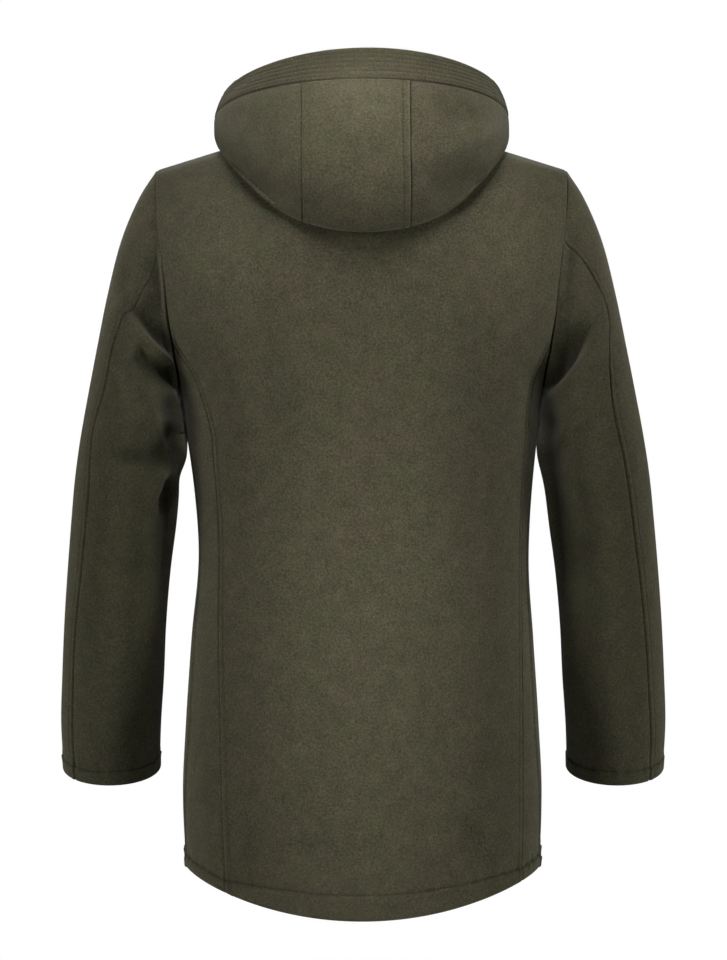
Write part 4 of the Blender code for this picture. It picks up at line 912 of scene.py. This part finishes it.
def makeFront(side):
    sign = 1.0 if side == "Left" else -1.0
    inX = -coat["lapOver"] if side == "Left" else -coat["lapUnder"]
    outX = 0.0 if side == "Left" else coat["lapStepStart"]
    pinEnd = (outX - inX) / frontPanel["width"]
    t = stations(frontPanel["width"], frontPanel["columnStep"], True, True, (pinEnd,))
    pinned = t <= pinEnd + 1e-6
    pinX = inX + (outX - inX) * np.clip(t / pinEnd, 0.0, 1.0)
    neckEnd = pinEnd + frontPanel["neckShare"] * (1 - pinEnd)
    startStation = 180.0 - math.degrees(math.asin(outX / coat["neckHalf"]))
    station = startStation + (90.0 - startStation) * np.clip((t - pinEnd) / (neckEnd - pinEnd), 0.0, 1.0)
    station = np.where(pinned, 180.0 - np.degrees(np.arcsin(np.abs(pinX) / coat["neckHalf"])), station)
    levelTop, angleTop = neckPlace(station)
    onShoulder = t >= neckEnd - 1e-9
    shoulderX = coat["neckHalf"] + shoulderLength * (t - neckEnd) / (1 - neckEnd)
    levelTop = np.where(onShoulder, 0.0, levelTop)
    tops = np.degrees(np.arcsin(np.clip(shoulderX, 0.0, coat["shoulderHalf"]) / bodySections[0][1]))
    fromFront = np.where(onShoulder, tops, 180.0 - angleTop) / tipAngle
    shareLow = np.where(t > atEdge, 1.0, np.maximum(fromFront, 0.0) ** frontPanel["lowPower"])
    first = int(np.argmin(np.abs(t - pinEnd)))

    def spread(share, edge):
        return share * tipAngle + (edge - tipAngle) * share ** frontPanel["spreadPower"]

    def placed(level, edge, eased):
        share = fromFront + (shareLow - fromFront) * eased
        apart = spread(share, edge)
        pinAngle = np.degrees(np.arcsin(pinX / readAt(bodyAt, "halfWidth", level)))
        begin, own = pinAngle[:, first:first + 1], apart[:, first:first + 1]
        shifted = begin + (apart - own) * (edge - begin) / np.maximum(edge - own, 1e-6)
        return 180.0 - np.where(pinned, pinAngle, shifted)

    upperStep = frontPanel["upperLength"] / frontPanel["upperRows"]
    upper = stations(frontPanel["upperLength"], upperStep, True, False, frontPanel["armpitRows"])[:, None]
    level = levelTop + (coat["armpitLevel"] - levelTop) * upper
    angle = placed(level, armholeAngle(level), ease(upper))
    lower = hemRows(frontPanel["lowerRows"], frontPanel["lowerLength"])[1:, None]
    lowLevel = np.full((len(lower), len(t)), coat["armpitLevel"])
    for _ in range(settleRounds):
        lowAngle = placed(lowLevel, 180.0 - readAt(seamAt, "side", lowLevel), 1.0)
        hem = hemLevel(np.where(pinned, 180.0, lowAngle))
        lowLevel = coat["armpitLevel"] + (hem - coat["armpitLevel"]) * lower
    points = body(sign * np.concatenate((angle, lowAngle)), np.concatenate((level, lowLevel)))
    shoulder, hemShare = onShoulder * 1.0, 1.0
    if side == "Right":
        out = gridNormals(points) * np.array((1.0, 1.0, 0.0))
        under = ease((coat["lapStepStart"] + points[..., 0]) / (coat["lapStepStart"] - coat["lapStepEnd"]))
        points = points - unit(out) * (coat["lapStep"] * under)[..., None]
        hemShare = 1 - under                # flat where the other front laps over it
    lapped, other = "start", "end"
    if side == "Left":
        points, shoulder, lapped, other = points[:, ::-1], shoulder[::-1], "end", "start"
    name = "front_" + side.lower()
    edges = [(lapped, "edge", 1.0, None), (other, "seam", 1.0, None), ("top", "seam", shoulder, None),
             ("bottom", "hem", hemShare, frontPanel["hemStitch"])]
    makePanel(name, points, edges, frontCreases)
    stitchLines["body"].append(lineAlong(name, lapped, finishes["edge"]["stripWidth"]))
    stitchLines["body"].append(lineAlong(name, "bottom", frontPanel["hemStitch"]))


# the sleeves
sleevePanel = {
    "columnStep": 0.0036, "rows": 178, "length": 0.66, "underWidth": 0.15, "topWidth": 0.21,
    "seamStart": 0.012, "tuckFrom": 30.0, "tuckTo": 190.0, "tuckOver": 40.0, "stitchFrom": 6,
}
sleeveCreases = {
    "left": [
        crease("back", [(262, -188), (249, -206), (232, -226), (216, -242), (203, -255)], (6, 20), 11,
               (3.6, 0), (0.35, 0.06)),
        crease("back", [(249, -240), (240, -251), (226, -264), (212, -271), (200, -270)], (20, 6), 11,
               (0, 3), (0.3, 0.06)),
        crease("back", [(290, -343), (265, -365), (232, -368), (205, -354), (190, -332)], (15, 17), 7.5,
               (3, 2), (0.35, 0.1)),
        crease("back", [(199, -384), (208, -398), (214, -414), (215, -436)], (4, 12), 7, (2, 0),
               (0.3, 0.45)),
        crease("back", [(232, -130), (227, -162), (222, -189), (216, -218)], (14, 10), 8,
               ends=(0.25, 0.25)),
        crease("back", [(253, -190), (265, -201), (281, -214)], (7, 7), -3.4, ends=(0.3, 0.2)),
        crease("back", [(253, -140), (258, -167), (265, -190)], (8, 8), 3.4, ends=(0.4, 0.2)),
        crease("back", [(204, -285), (200, -337), (205, -381), (209, -414), (213, -448), (218, -492),
               (222, -547), (226, -592)], (24, 12), 8.5, ends=(0.1, 0.5)),
        crease("back", [(300, -470), (262, -486), (228, -478)], (20, 20), 2.6, (1.2, 0)),
        crease("front", [(205, -330), (240, -352), (280, -350)], (12, 12), 7.5, (3, 2)),
        crease("front", [(210, -385), (245, -412), (282, -418)], (12, 12), 6, (2.5, 0)),
        crease("front", [(222, -230), (245, -270), (262, -320)], (15, 15), 5, (2.2, 0)),
    ],
    "right": [
        crease("back", [(264, -200), (251, -222), (238, -244), (218, -271), (199, -292)], (7, 26), 14,
               (4, 0), (0.45, 0.06)),
        crease("back", [(228, -112), (222, -153), (216, -187), (210, -210)], (12, 8), 7.5, ends=(0.2, 0.3)),
        crease("back", [(198, -303), (200, -348), (203.5, -392), (212, -436), (222, -481), (227, -547),
               (228, -592)], (24, 12), 9.5, ends=(0.1, 0.45)),
        crease("back", [(268, -262), (255, -277)], (8, 8), 2.4, (1, 0)),
        crease("back", [(270, -318), (256, -327)], (9, 8), 2.2, (1, 0)),
        crease("back", [(270, -345), (257, -374)], (9, 9), 2.6, (1, 0)),
        crease("back", [(223, -112), (239, -119)], (3, 3), 2, (0.8, 0), (0.2, 0.5)),
        crease("back", [(296, -455), (262, -470), (228, -462)], (20, 20), 2.4, (1.2, 0)),
        crease("front", [(205, -340), (240, -365), (285, -362)], (13, 13), 7.5, (3, 2)),
        crease("front", [(215, -400), (250, -422), (288, -420)], (12, 12), 5.6, (2.4, 0)),
        crease("front", [(220, -220), (248, -262), (270, -300)], (14, 14), 4.8, (2.2, 0)),
    ],
}


def makeSleeve(side, under):
    length = sleevePanel["length"]
    rows = stations(length, length / sleevePanel["rows"], True, True)
    section = (len(sleeveSections) * rows)[:, None]
    back = readAt(sleeveSeamAt, "back" + side.capitalize(), section)
    front = readAt(sleeveSeamAt, "front", section)
    low, high = (back, front) if under else (front - 360.0, back)
    u = stations(sleevePanel["underWidth" if under else "topWidth"], sleevePanel["columnStep"], True, True)
    turn = low + (high - low) * u
    points = sleeve(turn, np.broadcast_to(section, turn.shape) + 0.0, side)
    # the back laps a little over the sleeve
    tuckStart, tuckStop = turn - sleevePanel["tuckFrom"], sleevePanel["tuckTo"] - turn
    tuck = ease(tuckStart / sleevePanel["tuckOver"]) * ease(tuckStop / sleevePanel["tuckOver"])
    creases = sleeveCreases[side]
    if side == "left":
        points, tuck, first, second = points[:, ::-1], tuck[:, ::-1], "end", "start"
    else:
        points, first, second = points * np.array((-1.0, 1.0, 1.0)), "start", "end"
        creases = [mirrored(fold) for fold in creases]
    name = ("sleeve_under_" if under else "sleeve_top_") + side
    edges = [("top", "seam", 1 - tuck, None), ("top", "tucked", tuck, None), ("bottom", "cuff", 1.0, None)]
    sewn = ease(rows * length / sleevePanel["seamStart"])[:, None]      # the long seams end in the armhole
    edges += [(first, "seam", sewn, None), (second, "seam" if under else "topped", sewn, None)]
    makePanel(name, points, edges, creases)
    if not under:
        line = lineAlong(name, second, finishes["topped"]["stripWidth"])
        stitchLines["sleeves"].append(line[sleevePanel["stitchFrom"]:])
    stitchLines["sleeves"].append(lineAlong(name, "bottom", finishes["cuff"]["stripWidth"]))


# the hood and its band
hoodPanel = {
    "columnStep": 0.0045, "rows": 112, "depth": 0.45, "centreWidth": 0.116, "sideWidth": 0.22,
    "sewnShare": 0.62, "grooveTurn": 105.0, "grooveOver": 30.0, "stitchRows": 6, "stitchRise": 0.0026,
    "stitchPitch": 0.0057, "quilt": 0.00045, "quiltRows": (-0.0014, -0.0007, 0, 0.0007, 0.0014),
    "bandWidth": 0.038, "bandStep": 0.0022, "bandLength": 0.9, "bandThickness": 0.0046, "bandProud": 0.0014,
    "bandEnd": 0.5, "stitchProud": 0.0001,
}
hoodCreases = [
    crease("back", [(80, -104), (106, -81), (136, -49), (150, -20)], (20, 16), 4, (1.6, 0)),
    crease("back", [(-70, -92), (-100, -76), (-138, -49)], (14, 18), 4.2, (0, 1.8)),
    crease("back", [(-63, -56), (-106, -30), (-149, -4)], (14, 14), -3, ends=(0.2, 0.4)),
    crease("back", [(-66, 20), (-98, 6), (-130, -10)], (15, 15), 3.4),
    crease("back", [(130, 4), (105, -12), (80, -40)], (16, 16), 2.6, (1, 0)),
    crease("back", [(70.5, 32), (70.5, -40), (70.5, -108)], (6, 6), -1.2, ends=(0.2, 0.2)),
    crease("back", [(36, -30), (0, -42), (-36, -32)], (20, 16), 2.4, (1, 1.4)),
]


def makeHood():
    rows = stations(hoodPanel["depth"], hoodPanel["depth"] / hoodPanel["rows"], False, True)
    level = (hoodSizes["bandSeamLevel"] * rows)[:, None]
    left, right, front = hoodSeamTurn(level, "Left"), -hoodSeamTurn(level, "Right"), hoodFrontTurn(level)
    spans = {"hood_centre": (right, left, hoodPanel["centreWidth"]),
             "hood_side_left": (left, front, hoodPanel["sideWidth"]),
             "hood_side_right": (-front, right, hoodPanel["sideWidth"])}
    for name, (low, high, width) in spans.items():
        u = stations(width, hoodPanel["columnStep"], True, True)
        turn = low + (high - low) * u
        points = hood(turn, np.broadcast_to(level, turn.shape) + 0.0)
        points = points[::-1]               # rows run from the rim down, so that the outside faces out
        finish = "hoodTopped" if name == "hood_centre" else "hoodSeam"
        behind = ease((hoodPanel["grooveTurn"] - np.abs(turn[::-1])) / hoodPanel["grooveOver"])
        edges = [("start", finish, 1.0, None), ("end", finish, 1.0, None), ("top", "seam", behind, None)]
        makePanel(name, points, edges, hoodCreases)
    for edge in ("start", "end"):
        line = lineAlong("hood_centre", edge, finishes["hoodTopped"]["stripWidth"])
        stitchLines["hood"].append(line[:int(hoodPanel["sewnShare"] * len(line))])


def makeBand():
    width, quiltRows = hoodPanel["bandWidth"], np.array(hoodPanel["quiltRows"])
    rise, pitch = hoodPanel["stitchRise"], hoodPanel["stitchPitch"]
    quiltSteps = [rise + n * pitch for n in range(hoodPanel["stitchRows"])]
    fineSteps = np.concatenate([1 - (at + quiltRows) / width for at in quiltSteps])
    rows = stations(width, hoodPanel["bandStep"], True, True, fineSteps)
    level = (hoodSizes["rimLevel"] + (hoodSizes["bandSeamLevel"] - hoodSizes["rimLevel"]) * rows)[:, None]
    u = stations(hoodPanel["bandLength"], hoodPanel["columnStep"], True, True)
    front = hoodFrontTurn(level)
    turn = -front + 2 * front * u
    points = hood(turn, np.broadcast_to(level, turn.shape) + 0.0)
    fromFold = arcFrom(points, 0)
    fromFold = fromFold[-1:] - fromFold
    normals = gridNormals(points)
    quilt = sum(np.exp(-((fromFold - at) / cloth["stitchReach"]) ** 2) for at in quiltSteps)
    points = points - normals * (hoodPanel["quilt"] * quilt)[..., None]
    edges = [("top", "rim", 1.0, None), ("bottom", "bandFold", 1.0, None)]
    edges += [(edge, "edge", hoodPanel["bandEnd"], None) for edge in ("start", "end")]
    makePanel("hood_band", points, edges, (), hoodPanel["bandThickness"], hoodPanel["bandProud"])
    for at in quiltSteps:
        stitchLines["hood"].append(lineAlong("hood_band", "bottom", at, -hoodPanel["stitchProud"]))


makeBackCentre()
for sideName in ("Left", "Right"):
    makeBackSide(sideName)
    makeFront(sideName)
for sideName in ("left", "right"):
    makeSleeve(sideName, True)
    makeSleeve(sideName, False)
makeHood()
makeBand()
print("cloth pieces made")

# wool: a brushed melton with flecks of lighter and darker fibre, mottled brown and olive, darkened by painted
# shade in its folds and along seams and stitch lines
wool = {
    "dark": (0.042, 0.0395, 0.0255, 1), "middle": (0.086, 0.0805, 0.0520, 1),
    "light": (0.152, 0.142, 0.0920, 1),
    "fleckScale": 470.0, "fineScale": 1300.0, "fineShare": 0.32, "fleckRange": (0.25, 0.50, 0.77),
    "mottleScale": 58.0, "mottleDark": (0.82, 0.82, 0.82, 1), "mottleRange": (0.3, 0.7),
    "patchScale": 40.0, "patchBrown": (1.0, 0.955, 0.95, 1), "patchOlive": (0.955, 0.985, 0.88, 1),
    "patchRange": (0.36, 0.64), "paintedShade": (0.46, 0.48, 0.44, 1), "detail": 2.0, "patchDetail": 1.5,
    "roughness": 0.92, "sheen": 0.10, "sheenRoughness": 0.5, "specular": 0.15, "diffuseRoughness": 1.0,
    "bump": 0.45, "bumpDepth": 0.0008,
}
thread = {
    "dark": (0.035, 0.0329, 0.021, 1), "light": (0.065, 0.0611, 0.039, 1), "roughness": 0.75,
    "specular": 0.25, "twistScale": 900.0, "twistDetail": 2.0, "length": 0.0030, "gap": 0.0010,
    "radius": 0.00042, "sides": 6, "thinnest": (0.85, 0.85, 0.85), "thickest": (1.1, 1.1, 1.05),
    "firstSeed": 3,
}


def noise(tree, place, scale, detail, name):
    node = tree.nodes.new("ShaderNodeTexNoise")
    node.name = node.label = name
    node.inputs["Scale"].default_value = scale
    node.inputs["Detail"].default_value = detail
    tree.links.new(place.outputs["Object"], node.inputs["Vector"])
    return node.outputs["Fac"]


def ramp(tree, source, places, colours, name):
    node = tree.nodes.new("ShaderNodeValToRGB")
    node.name = node.label = name
    elements = node.color_ramp.elements
    elements[0].position, elements[1].position = places[0], places[-1]
    for position in places[1:-1]:
        elements.new(position)
    for element, colour in zip(elements, colours):
        element.color = colour
    tree.links.new(source, node.inputs["Fac"])
    return node.outputs["Color"]


def blended(tree, first, second, share, kind):
    node = tree.nodes.new("ShaderNodeMix")
    node.data_type = kind
    node.blend_type = "MULTIPLY" if kind == "RGBA" else "MIX"
    node.inputs["Factor"].default_value = share
    tree.links.new(first, node.inputs["A"])
    tree.links.new(second, node.inputs["B"])
    return node.outputs["Result"]


def makeWool():
    material, shader = makeMaterial("brushedWool", {
        "Roughness": wool["roughness"], "Sheen Weight": wool["sheen"],
        "Sheen Roughness": wool["sheenRoughness"], "Specular IOR Level": wool["specular"],
        "Diffuse Roughness": wool["diffuseRoughness"]})
    tree = material.node_tree
    place = tree.nodes.new("ShaderNodeTexCoord")
    white = (1.0, 1.0, 1.0, 1)
    fleck = noise(tree, place, wool["fleckScale"], wool["detail"], "flecks")
    fine = noise(tree, place, wool["fineScale"], wool["detail"], "fibres")
    nap = blended(tree, fleck, fine, wool["fineShare"], "FLOAT")
    mottle = noise(tree, place, wool["mottleScale"], wool["detail"], "mottles")
    patch = noise(tree, place, wool["patchScale"], wool["patchDetail"], "patches")
    # painted shade: the mask from the cloth darkens the colour towards the shade colour
    paintedShade = tree.nodes.new("ShaderNodeAttribute")
    paintedShade.attribute_name = "hollow"
    shades = (wool["dark"], wool["middle"], wool["light"])
    colour = ramp(tree, nap, wool["fleckRange"], shades, "fleckShades")
    for source, places, colours, name in (
            (mottle, wool["mottleRange"], (wool["mottleDark"], white), "mottleShades"),
            (patch, wool["patchRange"], (wool["patchBrown"], wool["patchOlive"]), "patchTints"),
            (paintedShade.outputs["Fac"], (0.0, 1.0), (white, wool["paintedShade"]), "paintedShadeRamp")):
        colour = blended(tree, colour, ramp(tree, source, places, colours, name), 1.0, "RGBA")
    bump = tree.nodes.new("ShaderNodeBump")
    bump.inputs["Strength"].default_value = wool["bump"]
    bump.inputs["Distance"].default_value = wool["bumpDepth"]
    tree.links.new(colour, shader.inputs["Base Color"])
    tree.links.new(nap, bump.inputs["Height"])
    tree.links.new(bump.outputs["Normal"], shader.inputs["Normal"])
    return material


def makeThread():
    material, shader = makeMaterial("sewingThread", {
        "Roughness": thread["roughness"], "Specular IOR Level": thread["specular"]})
    tree = material.node_tree
    place = tree.nodes.new("ShaderNodeTexCoord")
    twist = noise(tree, place, thread["twistScale"], thread["twistDetail"], "twist")
    colour = ramp(tree, twist, (0.0, 1.0), (thread["dark"], thread["light"]), "threadShades")
    tree.links.new(colour, shader.inputs["Base Color"])
    return material


woolMaterial, threadMaterial = makeWool(), makeThread()
for panel in panels.values():
    panel["piece"].data.materials.append(woolMaterial)


# stitches: short lengths of thread along the sewn lines
def makeStitchTree():
    tree = bpy.data.node_groups.new("stitches", "GeometryNodeTree")
    for label, kind in (("Line", "Geometry"), ("Pitch", "Float"), ("Length", "Float"), ("Radius", "Float"),
                        ("Thread", "Material"), ("Seed", "Int")):
        tree.interface.new_socket(label, in_out="INPUT", socket_type="NodeSocket" + kind)
    tree.interface.new_socket("Stitches", in_out="OUTPUT", socket_type="NodeSocketGeometry")
    nodes = tree.nodes
    start, end = nodes.new("NodeGroupInput"), nodes.new("NodeGroupOutput")
    spots = nodes.new("GeometryNodeCurveToPoints")
    spots.mode = "LENGTH"
    bit = nodes.new("GeometryNodeMeshCylinder")
    bit.fill_type = "TRIANGLE_FAN"
    bit.inputs["Vertices"].default_value = thread["sides"]
    uneven = nodes.new("FunctionNodeRandomValue")
    uneven.data_type = "FLOAT_VECTOR"
    uneven.inputs["Min"].default_value = thread["thinnest"]
    uneven.inputs["Max"].default_value = thread["thickest"]
    place = nodes.new("GeometryNodeInstanceOnPoints")
    real = nodes.new("GeometryNodeRealizeInstances")
    dress = nodes.new("GeometryNodeSetMaterial")
    join(tree, (
        (start, "Line", spots, "Curve"), (start, "Pitch", spots, "Length"), (start, "Radius", bit, "Radius"),
        (start, "Length", bit, "Depth"), (start, "Seed", uneven, "Seed"), (spots, "Points", place, "Points"),
        (spots, "Rotation", place, "Rotation"), (bit, "Mesh", place, "Instance"),
        (uneven, "Value", place, "Scale"), (place, "Instances", real, "Geometry"),
        (real, "Geometry", dress, "Geometry"), (start, "Thread", dress, "Material"),
        (dress, "Geometry", end, "Stitches")))
    return tree


stitchTree = makeStitchTree()


def makeStitches(title, lines, seed):
    curve = bpy.data.curves.new(title + "Lines", "CURVE")
    curve.dimensions = "3D"
    for line in lines:
        spline = curve.splines.new("POLY")
        spline.points.add(len(line) - 1)
        places = np.concatenate((line, np.ones((len(line), 1))), 1)
        spline.points.foreach_set("co", places.astype(np.float32).ravel())
    sewn = addObject(title + "Lines", curve)
    modifier = sewn.modifiers.new("stitches", "NODES")
    modifier.node_group = stitchTree
    inputs = {"Pitch": thread["length"] + thread["gap"], "Length": thread["length"],
              "Radius": thread["radius"], "Thread": threadMaterial, "Seed": seed}
    for item in stitchTree.interface.items_tree:
        if item.name in inputs:
            modifier[item.identifier] = inputs[item.name]
    ready = sewn.evaluated_get(bpy.context.evaluated_depsgraph_get())
    mesh = bpy.data.meshes.new_from_object(ready)
    mesh.name = title + "_stitches"
    mesh.shade_smooth()
    sewn.modifiers.remove(modifier)
    bpy.data.objects.remove(sewn)
    piece = addObject(title + "_stitches", mesh)
    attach(piece, "root")
    print("sewn", title, len(lines), "lines,", len(mesh.polygons), "faces")


for seed, (title, lines) in enumerate(stitchLines.items(), thread["firstSeed"]):
    makeStitches(title, lines, seed)

# what each piece was cut to, flat: width, length and area in metres, and what it rests on
cuts = {
    "back_centre": (0.53, 0.92, 0.350, ["front_left", "front_right"]),
    "back_side_left": (0.11, 0.62, 0.038, ["back_centre"]),
    "back_side_right": (0.11, 0.60, 0.021, ["back_centre"]),
    "front_left": (0.36, 0.88, 0.249, ["back_centre"]),
    "front_right": (0.35, 0.88, 0.246, ["back_centre"]),
    "sleeve_under_left": (0.28, 0.63, 0.086, ["back_centre"]),
    "sleeve_under_right": (0.28, 0.64, 0.082, ["back_centre"]),
    "sleeve_top_left": (0.34, 0.69, 0.140, ["back_centre"]),
    "sleeve_top_right": (0.33, 0.69, 0.142, ["back_centre"]),
    "hood_centre": (0.12, 0.35, 0.041, ["back_centre"]),
    "hood_side_left": (0.44, 0.33, 0.047, ["back_centre"]),
    "hood_side_right": (0.45, 0.34, 0.051, ["back_centre"]),
    "hood_band": (0.97, 0.039, 0.031, ["hood_centre"]),
}
for name, (width, length, area, rests) in cuts.items():
    piece = panels[name]["piece"]
    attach(piece, "root")
    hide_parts(name)

low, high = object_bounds()
for label, corners in (("cad box", (*cadLow, *cadHigh)), ("visual box", (*low, *high))):
    print(label, [round(v, 4) for v in corners])
